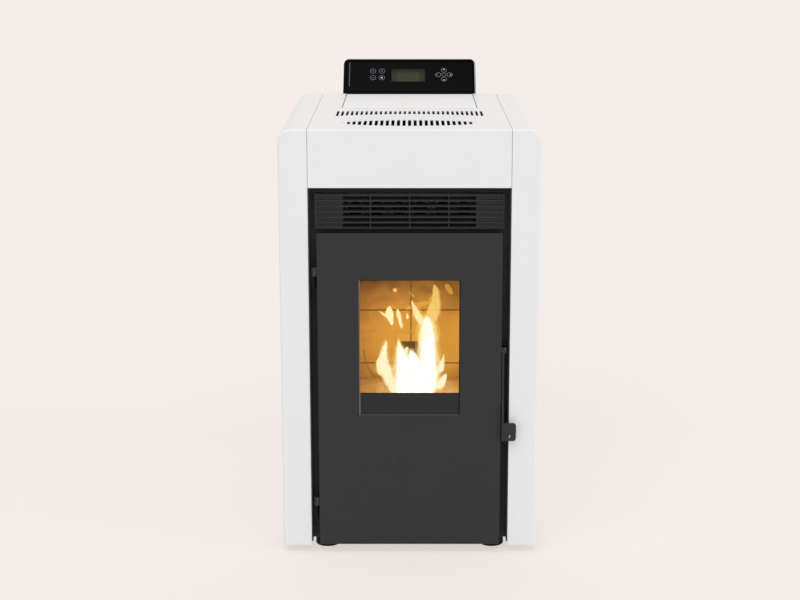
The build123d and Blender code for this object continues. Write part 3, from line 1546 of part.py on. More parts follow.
duct_sheets = side_window(duct_in_right, smoke_duct_right, smoke_duct_front, firebox_back_inside,
                          smoke_leg_top, plenum_top, smoke_window)
duct_sheets += [eye_sheet(smoke_duct_bottom, exhaust_axis_height),
                eye_sheet(exhaust_axis_height, smoke_leg_top),
                plate(duct_in_right, smoke_duct_right, smoke_duct_front, fan_sheet_front,
                      smoke_duct_bottom, smoke_leg_top),
                plate(smoke_duct_left, duct_in_left, smoke_duct_front, firebox_back_inside, smoke_leg_top,
                      plenum_top),
                plate(smoke_duct_left, duct_in_left, smoke_duct_front, smoke_leg_back, smoke_duct_bottom,
                      smoke_leg_top),
                plate(duct_in_left, duct_in_right, smoke_duct_front, smoke_duct_front + duct_sheet,
                      smoke_duct_bottom, plenum_top),
                plate(duct_in_left, duct_in_right, duct_rear, firebox_back_inside, smoke_leg_top,
                      plenum_top),
                plate(duct_in_left, duct_in_right, duct_rear, smoke_leg_back, smoke_leg_top - duct_sheet,
                      smoke_leg_top),
                plate(duct_in_left, duct_in_right, leg_rear, smoke_leg_back, duct_floor,
                      smoke_leg_top - duct_sheet),
                plate(duct_in_left, duct_in_right, smoke_duct_front + duct_sheet, smoke_leg_back,
                      smoke_duct_bottom, duct_floor),
                plate(duct_in_left, duct_in_right, smoke_duct_front + duct_sheet, duct_rear,
                      plenum_top - duct_sheet, plenum_top)]
save_welded(duct_sheets, "smoke_duct")

outlet_high = exhaust_outlet_low + exhaust_outlet_height
def fan_cheek(left, hole):
    """Flat side of the smoke fan's scroll with a round hole on the axis."""
    with BuildPart() as cheek:
        with BuildSketch(side(left)):
            add(exhaust_outline(0))
            with Locations((exhaust_axis_depth, exhaust_axis_height)):
                Circle(hole, mode=Mode.SUBTRACT)
        extrude(amount=duct_sheet)
    return cheek.part


def flue_ring(start, end, outer, inner):
    """Round piece of the flue between two depths."""
    with BuildPart() as ring:
        with BuildSketch(facing(start)):
            with Locations((flue_x, flue_height)):
                Circle(outer)
                Circle(inner, mode=Mode.SUBTRACT)
        extrude(amount=-(end - start))
    return ring.part


with BuildPart() as scroll_band:
    with BuildSketch(side(exhaust_left + duct_sheet)):
        add(exhaust_outline(0))
        add(exhaust_outline(duct_sheet), mode=Mode.SUBTRACT)
    extrude(amount=exhaust_width - 2 * duct_sheet)
# outlet that grows from the square mouth of the scroll to a round pipe
with BuildPart() as outlet_cone:
    for grow in (0, flue_wall):
        with BuildSketch(facing(exhaust_outlet_depth)):
            rect(exhaust_left + grow, exhaust_outlet_low + grow, exhaust_right - grow, outlet_high - grow)
        with BuildSketch(facing(cone_end)):
            with Locations((flue_x, flue_height)):
                Circle(flue_pipe_radius - grow)
        loft(mode=Mode.SUBTRACT if grow else Mode.ADD)
# the wider spigot outside the casing is closed on to the pipe by a ring
with BuildPart() as flue_spigot:
    add(flue_ring(spigot_start, spigot_start + flue_wall, flue_radius, flue_pipe_radius - flue_wall))
    add(flue_ring(spigot_start + flue_wall, flue_end, flue_radius, flue_radius - flue_wall))
save_welded([fan_cheek(exhaust_left, exhaust_inlet_radius),
             fan_cheek(exhaust_right - duct_sheet, shaft_hole_radius), scroll_band.part, outlet_cone.part,
             flue_ring(cone_end, spigot_start, flue_pipe_radius, flue_pipe_radius - flue_wall),
             flue_spigot.part], "exhaust_housing")

paddle_left = exhaust_left + duct_sheet + wheel_side_gap
paddle_right = exhaust_right - duct_sheet - wheel_side_gap
with BuildPart() as exhaust_wheel:
    with BuildSketch(side(paddle_right - exhaust_disc)):
        with Locations((exhaust_axis_depth, exhaust_axis_height)):
            Circle(exhaust_wheel_radius)
    extrude(amount=exhaust_disc)
    with BuildSketch(side(paddle_left)):
        with Locations((exhaust_axis_depth, exhaust_axis_height)):
            with PolarLocations(exhaust_blade_middle, exhaust_blades):
                Rectangle(exhaust_blade_length, exhaust_blade_sheet)
    extrude(amount=paddle_right - paddle_left)
    with BuildSketch(side(paddle_left + exhaust_disc)):
        with Locations((exhaust_axis_depth, exhaust_axis_height)):
            Circle(exhaust_hub_radius)
    extrude(amount=paddle_right - paddle_left - exhaust_disc)
    with BuildSketch(side(paddle_right)):
        with Locations((exhaust_axis_depth, exhaust_axis_height)):
            Circle(blower_shaft_radius)
    extrude(amount=exhaust_right - paddle_right + exhaust_motor_length / 2)
save(exhaust_wheel, "exhaust_wheel")

with BuildPart() as exhaust_motor:
    with BuildSketch(side(exhaust_right)):
        with Locations((exhaust_axis_depth, exhaust_axis_height)):
            Circle(exhaust_motor_radius)
    extrude(amount=exhaust_motor_length)
    fillet(exhaust_motor.edges().group_by(Axis.X)[-1], blower_shaft_radius)
    with BuildSketch(side(exhaust_right)):
        with Locations((exhaust_axis_depth, exhaust_axis_height)):
            Circle(blower_shaft_radius + shaft_gap)
    extrude(amount=exhaust_motor_length / 2 + 2 * shaft_gap, mode=Mode.SUBTRACT)
save(exhaust_motor, "exhaust_motor")

with BuildPart() as air_intake:
    for grow in (0, duct_sheet):
        mode = Mode.SUBTRACT if grow else Mode.ADD
        for start, end, radius in ((firebox_back, spigot_start + 2 * grow, intake_pipe_radius),
                                   (spigot_start + grow, intake_end, intake_radius)):
            with BuildSketch(facing(start)):
                with Locations((intake_x, intake_height)):
                    Circle(radius - grow)
            extrude(amount=-(end - start), mode=mode)
save(air_intake, "air_intake")

# ---------------------------------------------------------------- pellet feed
auger_upward = (0, sin(radians(auger_tilt)), cos(radians(auger_tilt)))


def throat(grow):
    """Square throat from the axis of the auger tube up to the neck of the hopper."""
    with BuildPart() as box:
        with BuildSketch(level(neck_bottom)):
            rect(-neck_half + grow, neck_front + grow, neck_half - grow, neck_back - grow)
        extrude(amount=-(neck_bottom - auger_start_height))
        split(bisect_by=Plane(auger_axis.origin, x_dir=(1, 0, 0), z_dir=auger_upward), keep=Keep.TOP)
    return box.part


with BuildPart() as auger_tube:
    with BuildSketch(auger_axis):
        Circle(auger_tube_radius)
    extrude(amount=auger_length)
    add(throat(0))
    with BuildSketch(level(neck_bottom - chute_sheet)):
        rect(-neck_half - neck_flange, neck_front - neck_flange,
             neck_half + neck_flange, neck_back + neck_flange)
    extrude(amount=chute_sheet)
    with BuildSketch(auger_axis.offset(auger_end_plate)):
        Circle(auger_tube_radius - auger_tube_wall)
    extrude(amount=auger_length, mode=Mode.SUBTRACT)
    add(throat(auger_tube_wall), mode=Mode.SUBTRACT)
    with BuildSketch(auger_axis):
        Circle(auger_shaft_radius + shaft_gap)
    extrude(amount=auger_end_plate, mode=Mode.SUBTRACT)
save(auger_tube, "auger_tube")

flight_start = auger_end_plate + auger_end_margin
flight_end = auger_length - auger_end_margin
flight_root = auger_shaft_radius - auger_flight / 2
# the flight is swept about an upright axis and then laid in the tube
with BuildPart() as flight:
    with BuildLine() as turns:
        Helix(auger_pitch, flight_end - flight_start - auger_flight, flight_root)
    with BuildSketch(Plane.XZ):
        with Locations(((auger_flight_radius + flight_root) / 2, 0)):
            Rectangle(auger_flight_radius - flight_root, auger_flight)
    sweep(path=turns.line, is_frenet=True)
with BuildPart() as auger_screw:
    with BuildSketch(auger_axis.offset(-gearbox_length / 2)):
        Circle(auger_shaft_radius)
    extrude(amount=gearbox_length / 2 + flight_end)
    add(auger_axis.offset(flight_start).location * flight.part)
save(auger_screw, "auger_screw")

with BuildPart() as auger_motor:
    with BuildSketch(auger_axis):
        Rectangle(gearbox_width, gearbox_height)
    extrude(amount=-gearbox_length)
    fillet(auger_motor.edges().filter_by(Axis.X), auger_flight)
    with BuildSketch(auger_axis.offset(-gearbox_length)):
        Circle(auger_motor_radius)
    extrude(amount=-auger_motor_length)
    with BuildSketch(auger_axis):
        Circle(auger_shaft_radius + shaft_gap)
    extrude(amount=-gearbox_length / 2 - 2 * shaft_gap, mode=Mode.SUBTRACT)
save(auger_motor, "auger_motor")

# ---------------------------------------------------------------- electrics
inlet_back = rear_panel_front + rear_panel_sheet
socket_x = inlet_x - inlet_width / 2 + inlet_flange * 2 + inlet_socket_width / 2
switch_x = inlet_x + inlet_width / 2 - inlet_flange * 2 - switch_width / 2
with BuildPart() as power_inlet:
    with BuildSketch(facing(inlet_back)):
        with Locations((inlet_x, inlet_z)):
            Rectangle(inlet_width, inlet_height)
    extrude(amount=-inlet_flange)
    with BuildSketch(facing(inlet_back)):
        with Locations((inlet_x, inlet_z)):
            Rectangle(inlet_width - 2 * inlet_flange - tube_gap, inlet_height - 2 * inlet_flange - tube_gap)
    extrude(amount=inlet_depth)
    with BuildSketch(facing(inlet_back + inlet_flange)):
        with Locations((socket_x, inlet_z)):
            RectangleRounded(inlet_socket_width, switch_height, inlet_flange)
    extrude(amount=socket_depth, mode=Mode.SUBTRACT)
    with BuildSketch(facing(inlet_back + inlet_flange)):
        with Locations((switch_x, inlet_z)):
            Rectangle(switch_width, switch_height)
    extrude(amount=switch_pocket, mode=Mode.SUBTRACT)
with BuildPart() as contact_blades:
    with BuildSketch(facing(inlet_back + inlet_flange - socket_depth)):
        with Locations((socket_x, inlet_z)):
            with Locations((-contact_spread, -contact_width), (contact_spread, -contact_width),
                           (0, contact_height)):
                Rectangle(contact_width, contact_height)
    extrude(amount=-contact_length)
save_welded(power_inlet.solids() + contact_blades.solids(), "power_inlet")

with BuildPart() as power_switch:
    with BuildSketch(side(switch_x - switch_width / 2 + key_gap)):
        with BuildLine():
            half = switch_height / 2 - rocker_gap
            Polyline((inlet_back + inlet_flange, inlet_z), (inlet_back + inlet_flange / 2, inlet_z - half),
                     (inlet_back - inlet_flange, inlet_z - half - rocker_gap / 2),
                     (inlet_back - inlet_flange * 2, inlet_z),
                     (inlet_back - inlet_flange, inlet_z + half - rocker_gap),
                     (inlet_back + inlet_flange * 2, inlet_z + half), close=True)
        make_face()
    extrude(amount=switch_width - 2 * key_gap)
save(power_switch, "power_switch")

power_board_front = rear_panel_front - power_board_standoff
with BuildPart() as power_board:
    with BuildSketch(facing(power_board_front)):
        with Locations((power_board_x, power_board_z)):
            Rectangle(power_board_width, power_board_height)
    extrude(amount=board_thickness)
    with BuildSketch(facing(power_board_front)):
        with Locations((power_board_x, power_board_z)):
            with GridLocations(power_board_width - 2 * spacer_inset,
                               power_board_height - 2 * spacer_inset, 2, 2):
                Circle(spacer_radius)
    extrude(amount=-power_board_standoff)
    with BuildSketch(facing(power_board_front - board_thickness)):
        with Locations((power_board_x, power_board_z - relay_drop)):
            with GridLocations(relay_pitch, relay_pitch, relay_count, 1):
                Rectangle(relay_width, relay_height)
    extrude(amount=power_board_standoff)
    with BuildSketch(facing(power_board_front - board_thickness)):
        with Locations((power_board_x - transformer_x, power_board_z + transformer_z)):
            Rectangle(transformer_width, transformer_height)
    extrude(amount=power_board_standoff * 2)
save(power_board, "power_board")
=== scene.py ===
import bpy
import math
import random
from math import radians
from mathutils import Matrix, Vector


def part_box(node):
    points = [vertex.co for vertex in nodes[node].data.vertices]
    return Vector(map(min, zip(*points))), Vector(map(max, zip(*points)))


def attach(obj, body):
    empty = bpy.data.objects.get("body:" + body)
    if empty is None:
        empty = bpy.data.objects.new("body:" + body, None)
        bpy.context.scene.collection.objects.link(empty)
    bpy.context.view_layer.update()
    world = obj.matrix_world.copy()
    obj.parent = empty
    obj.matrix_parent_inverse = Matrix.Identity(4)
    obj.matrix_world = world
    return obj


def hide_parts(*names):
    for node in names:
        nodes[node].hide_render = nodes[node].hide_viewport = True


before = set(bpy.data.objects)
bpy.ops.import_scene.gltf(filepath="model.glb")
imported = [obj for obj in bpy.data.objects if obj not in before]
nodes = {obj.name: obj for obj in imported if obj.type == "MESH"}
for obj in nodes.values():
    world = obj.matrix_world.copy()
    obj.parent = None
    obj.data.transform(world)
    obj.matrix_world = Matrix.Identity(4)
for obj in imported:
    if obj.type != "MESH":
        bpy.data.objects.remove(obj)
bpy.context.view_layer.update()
scene = bpy.context.scene
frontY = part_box("top_cover")[0].y
print("stove frame loaded:", len(nodes), "nodes")

# small helpers


def setMode(name):
    bpy.ops.object.mode_set(mode=name)


def clearSelection():
    if bpy.context.object and bpy.context.object.mode != "OBJECT":
        setMode("OBJECT")
    bpy.ops.object.select_all(action="DESELECT")


def takePiece(piece):
    clearSelection()
    piece.select_set(True)
    bpy.context.view_layer.objects.active = piece


def keepPlace(piece):
    # puts the object at the origin, with its place in its mesh
    takePiece(piece)
    bpy.ops.object.transform_apply()


def editWhole():
    setMode("EDIT")
    bpy.ops.mesh.select_all(action="SELECT")


def modify(piece, **plans):
    # adds the modifiers in this order, then applies them
    for kind, plan in plans.items():
        modifier = piece.modifiers.new(kind, kind)
        for name, value in plan.items():
            setattr(modifier, name, value)
    takePiece(piece)
    for modifier in list(piece.modifiers):
        bpy.ops.object.modifier_apply(modifier=modifier.name)


def joinPieces(parts):
    takePiece(parts[0])
    for part in parts:
        part.select_set(True)
    if len(parts) > 1:
        bpy.ops.object.join()
    return parts[0]


def smoothAll(piece, angle):
    takePiece(piece)
    bpy.ops.object.shade_smooth_by_angle(angle=radians(angle))


def finishPiece(piece, name, body, finishName):
    keepPlace(piece)
    piece.name = name
    piece.data.name = name
    piece.data.materials.clear()
    piece.data.materials.append(finish[finishName])
    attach(piece, body)
    return piece


def choose(piece, kind, test):
    # leaves edit mode on, with only the faces or edges that pass the test selected
    setMode("OBJECT")
    mesh = piece.data
    for group in (mesh.vertices, mesh.edges, mesh.polygons):
        for part in group:
            part.select = False
    for part in mesh.edges if kind == "EDGE" else mesh.polygons:
        part.select = test(part)
    setMode("EDIT")
    bpy.ops.mesh.select_mode(type=kind)


def fixNormals(piece):
    takePiece(piece)
    editWhole()
    bpy.ops.mesh.remove_doubles(threshold=0.000002)
    bpy.ops.mesh.normals_make_consistent()
    setMode("OBJECT")


def flatSheet(low, high, turn=90):
    # a plane from corner to corner, upright unless turned otherwise
    low, high = Vector(low), Vector(high)
    half = (high - low) / 2
    clearSelection()
    bpy.ops.mesh.primitive_plane_add(size=2, location=(low + high) / 2, rotation=(radians(turn), 0, 0))
    sheet = bpy.context.object
    sheet.scale = (half.x, half.z if turn else half.y, 1)
    keepPlace(sheet)
    return sheet


def extrudeBy(x, y, z):
    bpy.ops.mesh.extrude_region_move(TRANSFORM_OT_translate={"value": (x, y, z)})


# shader helpers


def feedAll(tree, sockets, values):
    # a socket takes a link, a value, or a colour without its alpha
    for label, value in values.items():
        socket = sockets[label]
        if hasattr(value, "is_output"):
            tree.links.new(value, socket)
        elif socket.type == "RGBA" and len(value) == 3:
            socket.default_value = (*value, 1)
        else:
            socket.default_value = value


def putNode(tree, kind, sockets=None, **settings):
    made = tree.nodes.new("ShaderNode" + kind)
    for name, value in settings.items():
        setattr(made, name, value)
    feedAll(tree, made.inputs, sockets or {})
    return made


def mathNode(tree, operation, *terms, clamp=False):
    return putNode(tree, "Math", dict(enumerate(terms)), operation=operation, use_clamp=clamp).outputs[0]


def vectorNode(tree, operation, *terms):
    made = putNode(tree, "VectorMath", dict(enumerate(terms)), operation=operation)
    return made.outputs["Value" if operation in ("LENGTH", "DOT_PRODUCT") else "Vector"]


def over(tree, value, limit):
    return mathNode(tree, "GREATER_THAN", value, limit)


def under(tree, value, limit):
    return mathNode(tree, "LESS_THAN", value, limit)


def productOf(tree, first, *others):
    for other in others:
        first = mathNode(tree, "MULTIPLY", first, other)
    return first


def largestOf(tree, first, *others):
    for other in others:
        first = mathNode(tree, "MAXIMUM", first, other)
    return first


def between(tree, value, low, high):
    return productOf(tree, over(tree, value, low), under(tree, value, high))


def sizeOf(tree, value):
    return mathNode(tree, "ABSOLUTE", value)


def mixColours(tree, factor, first, second, blend="MIX"):
    return putNode(tree, "Mix", {0: factor, 6: first, 7: second}, data_type="RGBA",
        blend_type=blend).outputs[2]


def rampNode(tree, factor, stops):
    made = putNode(tree, "ValToRGB", {0: factor})
    made.color_ramp.interpolation = "EASE"
    elements = made.color_ramp.elements
    while len(elements) < len(stops):
        elements.new(0.5)
    for element, (place, colour) in zip(elements, stops):
        element.position = place
        element.color = (*colour, 1)
    return made.outputs[0]


def plainPlace(tree):
    return putNode(tree, "TexCoord").outputs["Object"]


def objectPlace(tree, scale=(1, 1, 1), turn=(0, 0, 0)):
    return putNode(tree, "Mapping", {"Vector": plainPlace(tree), "Scale": scale, "Rotation": turn}).outputs[0]


def splitParts(tree, vector):
    return putNode(tree, "SeparateXYZ", {0: vector}).outputs


def normalParts(tree, kind):
    return splitParts(tree, putNode(tree, "NewGeometry").outputs[kind])


def noiseAt(tree, place, scale, detail=2, **more):
    return putNode(tree, "TexNoise", {"Vector": place, "Scale": scale, "Detail": detail, **more}).outputs[0]


def newEffect(name, inputs, outputs):
    # an input's kind is told by its default: a number, a vector or a colour
    tree = bpy.data.node_groups.new(name, "ShaderNodeTree")
    for label, value in inputs.items():
        kind = "Float" if isinstance(value, float) else {3: "Vector", 4: "Color"}[len(value)]
        socket = tree.interface.new_socket(name=label, in_out="INPUT", socket_type="NodeSocket" + kind)
        socket.default_value = value
    for label, kind in outputs.items():
        tree.interface.new_socket(name=label, in_out="OUTPUT", socket_type="NodeSocket" + kind)
    return tree, tree.nodes.new("NodeGroupInput").outputs, tree.nodes.new("NodeGroupOutput").inputs


def useEffect(tree, effect, **values):
    made = tree.nodes.new("ShaderNodeGroup")
    made.node_tree = effect
    feedAll(tree, made.inputs, values)
    return made.outputs


# shader effects, built once and placed in the materials

# sprayed and baked paint: fine grain over a soft orange peel
grainPlan = {"peelShare": 1.4, "clouds": 6}
tree, grainIn, grainOut = newEffect("paintGrain", {"Grain": 2600.0, "Peel": 260.0},
    {"Height": "Float", "Tone": "Float"})
grainPlace = objectPlace(tree)
grainPeel = noiseAt(tree, grainPlace, grainIn["Peel"], 3)
grainHeight = mathNode(tree, "ADD", noiseAt(tree, grainPlace, grainIn["Grain"]),
    productOf(tree, grainPeel, grainPlan["peelShare"]))
grainTone = noiseAt(tree, grainPlace, grainPlan["clouds"], 4, Roughness=0.6)
feedAll(tree, grainOut, {"Height": grainHeight, "Tone": grainTone})
paintGrain = tree

# folded and cut edges: a rounded normal, and a mask that finds the edge
tree, edgeIn, edgeOut = newEffect("softEdge", {"Reach": 0.001}, {"Normal": "Vector", "Mask": "Float"})
edgeNormal = putNode(tree, "Bevel", {"Radius": edgeIn["Reach"]}, samples=4).outputs[0]
edgeDot = vectorNode(tree, "DOT_PRODUCT", edgeNormal, putNode(tree, "NewGeometry").outputs["True Normal"])
edgeMask = mathNode(tree, "MULTIPLY", mathNode(tree, "SUBTRACT", 1, edgeDot), 5, clamp=True)
feedAll(tree, edgeOut, {"Normal": edgeNormal, "Mask": edgeMask})
softEdge = tree

# dust that settles on what faces up, in clouds
tree, dustIn, dustOut = newEffect("settledDust", {"Amount": 0.3, "Clouds": 18.0}, {"Mask": "Float"})
dustUp = mathNode(tree, "MAXIMUM", normalParts(tree, "Normal")[2], 0)
dustClouds = noiseAt(tree, objectPlace(tree), dustIn["Clouds"], 6)
dustMask = mathNode(tree, "MULTIPLY", productOf(tree, dustUp, dustClouds), dustIn["Amount"], clamp=True)
feedAll(tree, dustOut, {"Mask": dustMask})
settledDust = tree

# rolled or turned metal: lines along one direction
tree, lineIn, lineOut = newEffect("metalGrain", {"Stretch": (1, 1, 1), "Spangle": 60.0},
    {"Height": "Float", "Tone": "Float"})
linePlace = plainPlace(tree)
lineHeight = noiseAt(tree, vectorNode(tree, "MULTIPLY", linePlace, lineIn["Stretch"]), 900, 3)
lineCells = putNode(tree, "TexVoronoi", {"Vector": linePlace, "Scale": lineIn["Spangle"]})
lineTone = putNode(tree, "SeparateColor", {0: lineCells.outputs["Color"]}).outputs[0]
feedAll(tree, lineOut, {"Height": lineHeight, "Tone": lineTone})
metalGrain = tree

# light of the fire on what is round it, brighter and yellower near the flames
tree, litIn, litOut = newEffect(
    "fireLight",
    {"Reach": 0.2, "Far": (0, 0, 0, 1), "Half": (0.6, 0.25, 0.05, 1), "Near": (1, 0.6, 0.2, 1),
     "Centre": (0.012, frontY + 0.13, 0.3), "Squash": (1, 0.8, 0.72)},
    {"Colour": "Color"})
litPlace = plainPlace(tree)
litOffset = vectorNode(tree, "SUBTRACT", litPlace, litIn["Centre"])
litLength = vectorNode(tree, "LENGTH", vectorNode(tree, "MULTIPLY", litOffset, litIn["Squash"]))
litReach = mathNode(tree, "DIVIDE", litLength, litIn["Reach"])
litWaver = mathNode(tree, "MULTIPLY_ADD", noiseAt(tree, litPlace, 22, 4, Distortion=0.8), 0.5, -0.25)
litFall = mathNode(tree, "SUBTRACT", 1, mathNode(tree, "ADD", litReach, litWaver), clamp=True)
litLow = mathNode(tree, "MULTIPLY", litFall, 2, clamp=True)
litHigh = mathNode(tree, "SUBTRACT", productOf(tree, litFall, 2), 1, clamp=True)
litMixed = mixColours(tree, litLow, litIn["Far"], litIn["Half"])
feedAll(tree, litOut, {"Colour": mixColours(tree, litHigh, litMixed, litIn["Near"])})
fireLight = tree

# woven or plaited fibre
tree, plaitIn, plaitOut = newEffect("plaitedFibre", {"Pitch": 500.0}, {"Height": "Float"})
plaitPlace = objectPlace(tree)
plaitWaves = []
for plaitTurn in (0.75, -0.75):
    turned = putNode(tree, "VectorRotate", {"Vector": plaitPlace,
        "Rotation": (plaitTurn, plaitTurn * 0.6, plaitTurn)}, rotation_type="EULER_XYZ")
    plaitWaves.append(putNode(tree, "TexWave", {"Vector": turned.outputs[0], "Scale": plaitIn["Pitch"],
        "Distortion": 1.5, "Detail": 1}).outputs["Fac"])
feedAll(tree, plaitOut, {"Height": mathNode(tree, "MAXIMUM", *plaitWaves)})
plaitedFibre = tree
print("shader effects built")

# materials
finish = {}


def startMaterial(name):
    finish[name] = bpy.data.materials.new(name)
    finish[name].use_nodes = True
    return finish[name].node_tree


def setShader(tree, gloss, values):
    feedAll(tree, tree.nodes["Principled BSDF"].inputs, {"Specular IOR Level": gloss, **values})


def glowing(colour, strength=1):
    return {"Emission Color": colour, "Emission Strength": strength}


def bumpFrom(tree, height, strength, distance, normal=None):
    sockets = {"Height": height, "Strength": strength, "Distance": distance}
    if normal is not None:
        sockets["Normal"] = normal
    return putNode(tree, "Bump", sockets).outputs[0]


sheetCoat = {"roughLow": 0.37, "specular": 0.35, "grain": 2400, "peel": 240, "relief": 0.04,
    "edgeReach": 0.0009}
darkCoat = {"colour": (0.0265, 0.0265, 0.0268), "shade": (0.0235, 0.0235, 0.0238),
    "edge": (0.085, 0.085, 0.086), "roughLow": 0.5, "specular": 0.28, "grain": 1700, "peel": 380,
    "relief": 0.1, "edgeReach": 0.0008, "dust": 0.03}
paintCoats = {
    "whiteCoat": {**sheetCoat, "colour": (0.82, 0.82, 0.822), "shade": (0.8, 0.8, 0.802),
        "edge": (0.87, 0.87, 0.87), "dust": 0.04},
    # the lid's coat is the white coat painted lighter: painted light against the shade the console casts on
    # the lid
    "lidCoat": {**sheetCoat, "colour": (0.9, 0.9, 0.9), "shade": (0.885, 0.885, 0.885),
        "edge": (0.92, 0.92, 0.92), "dust": 0.01, "grooveTop": 0.8107, "grooveShadeTone": (0.66, 0.66, 0.66)},
    "charcoalCoat": darkCoat,
    # the door's coat carries a painted highlight and painted shade on its window bevels
    "doorCoat": {**darkCoat, "bevelGlintTone": (0.13, 0.13, 0.15), "bevelShadeTone": (0.002, 0.002, 0.002)},
    # painted light: the recess's coat is a lighter copy of the dark coat, lifting the shade that falls in the
    # recess
    "recessCoat": {**darkCoat, "colour": (0.046, 0.046, 0.0464), "shade": (0.04, 0.04, 0.0404),
        "edge": (0.04, 0.04, 0.04), "roughLow": 0.55, "specular": 0.2, "edgeReach": 0.0006,
        "outletEndLift": (0.1, 0.1, 0.101)},
    "grilleCoat": {**darkCoat, "colour": (0.0245, 0.0245, 0.0249), "shade": (0.021, 0.021, 0.0214),
        "edge": (0.075, 0.075, 0.075), "roughLow": 0.45, "relief": 0.08, "edgeReach": 0.0005, "dust": 0.02},
    # painted shade: the door frame's coat is a darker copy of the dark coat
    "frameCoat": {**darkCoat, "colour": (0.011, 0.011, 0.0112), "shade": (0.009, 0.009, 0.0092),
        "edge": (0.03, 0.03, 0.03), "roughLow": 0.55, "specular": 0.22, "grain": 1500, "peel": 300},
    "furnacePaint": {**darkCoat, "colour": (0.035, 0.033, 0.031), "shade": (0.025, 0.024, 0.022),
        "edge": (0.07, 0.06, 0.05), "roughLow": 0.65, "specular": 0.25, "grain": 1200, "peel": 200,
        "relief": 0.16, "dust": 0.22},
    "flatBlack": {**darkCoat, "colour": (0.006, 0.006, 0.006), "shade": (0.004, 0.004, 0.004),
        "edge": (0.02, 0.02, 0.02), "roughLow": 0.6, "specular": 0.15, "grain": 1400, "peel": 260,
        "edgeReach": 0.0006, "dust": 0.05},
    "motorEnamel": {**darkCoat, "colour": (0.05, 0.055, 0.062), "shade": (0.04, 0.043, 0.05),
        "edge": (0.1, 0.11, 0.12), "roughLow": 0.35, "specular": 0.4, "grain": 1500, "peel": 300,
        "relief": 0.06, "dust": 0.2},
}
bareMetal = {"edgeReach": 0.0004, "relief": 0.05}
metalFinishes = {
    "zincSheet": {**bareMetal, "colour": (0.5, 0.52, 0.54), "shade": (0.43, 0.45, 0.475), "roughLow": 0.38,
        "stretch": (1, 1, 0.05), "spangle": 130, "dust": 0.12},
    "turnedSteel": {**bareMetal, "colour": (0.62, 0.61, 0.6), "shade": (0.52, 0.51, 0.5), "roughLow": 0.28,
        "stretch": (0.05, 1, 1), "spangle": 20, "dust": 0.05},
    "stainedTube": {**bareMetal, "colour": (0.22, 0.19, 0.17), "shade": (0.12, 0.11, 0.12), "roughLow": 0.5,
        "stretch": (1, 0.05, 1), "spangle": 30, "relief": 0.08, "dust": 0.2},
}
consolePlastic = {"colour": (0.0012, 0.0012, 0.0013), "grain": 1400, "relief": 0.01, "dust": 0.004}
workPlastic = {"edgeReach": 0.0005, "dust": 0.03}
plastics = {
    "consoleBlack": {**consolePlastic, "roughLow": 0.14, "specular": 0.025, "edge": (0.03, 0.03, 0.032),
        "edgeReach": 0.0008, "rightEdgeHighlight": (0.33, 0.32, 0.33)},
    "fasciaBlack": {**consolePlastic, "colour": (0.0011, 0.0014, 0.0013), "roughLow": 0.1, "specular": 0.03,
        "edge": (0.02, 0.02, 0.021), "edgeReach": 0.0005},
    "keyBlack": {**consolePlastic, "roughLow": 0.24, "specular": 0.03, "grain": 2200, "relief": 0.02,
        "edge": (0.01, 0.01, 0.01), "edgeReach": 0.0004},
    "inletBlack": {**workPlastic, "colour": (0.012, 0.012, 0.012), "roughLow": 0.44, "specular": 0.35,
        "grain": 1800, "relief": 0.08, "edge": (0.04, 0.04, 0.04), "edgeReach": 0.0004},
    "footRubber": {**workPlastic, "colour": (0.009, 0.009, 0.009), "roughLow": 0.69, "specular": 0.25,
        "grain": 900, "relief": 0.2, "edge": (0.03, 0.03, 0.03), "edgeReach": 0.001},
    "sealRubber": {**workPlastic, "colour": (0.02, 0.02, 0.02), "roughLow": 0.64, "specular": 0.3,
        "grain": 1500, "relief": 0.12, "edge": (0.04, 0.04, 0.04)},
    "boardGreen": {**workPlastic, "colour": (0.008, 0.07, 0.025), "roughLow": 0.29, "grain": 700,
        "relief": 0.1, "edge": (0.16, 0.13, 0.06)},
}
surfaceKinds = {
    "paint": {"worn": 0.55, "dustTone": (0.42, 0.39, 0.35), "roughSpan": 0.1, "grainDepth": 0.0004},
    "metal": {"dustTone": (0.3, 0.27, 0.23), "roughSpan": 0.12, "grainDepth": 0.0003},
    "plastic": {"worn": 0.6, "dustTone": (0.4, 0.38, 0.34), "roughSpan": 0.12, "grainDepth": 0.0003},
}
outletEnds = {"inner": 0.1215, "outer": 0.1735, "low": 0.624, "high": 0.694}


def paintedPlaces(tree, plan, base):
    # what single coats have in one place only
    place = splitParts(tree, objectPlace(tree))
    facing = normalParts(tree, "True Normal")
    if "grooveShadeTone" in plan:
        # painted shade: the floor of the lid's finger groove is painted darker
        groove = productOf(tree, over(tree, facing[2], 0.9), under(tree, place[2], plan["grooveTop"]))
        base = mixColours(tree, groove, base, plan["grooveShadeTone"])
    if "bevelGlintTone" in plan:
        # the bevels round the window: painted highlight on the left bevel, painted shade on the top and right
        # bevels
        slant = mathNode(tree, "COMPARE", facing[1], -0.707, 0.15)
        glintMask = productOf(tree, slant, over(tree, facing[0], 0.5))
        away = mathNode(tree, "MINIMUM", facing[0], facing[2])
        shadeMask = productOf(tree, slant, under(tree, away, -0.5))
        base = mixColours(tree, glintMask, base, plan["bevelGlintTone"])
        base = mixColours(tree, shadeMask, base, plan["bevelShadeTone"])
    if "outletEndLift" in plan:
        # painted light: the sheet behind the ends of the grille is painted lighter, against the shade that
        # falls there
        outletEndMask = between(tree, sizeOf(tree, place[0]), outletEnds["inner"], outletEnds["outer"])
        outletEndMask = productOf(tree, outletEndMask, between(tree, place[2], outletEnds["low"], outletEnds["high"]))
        base = mixColours(tree, outletEndMask, base, plan["outletEndLift"])
    return base


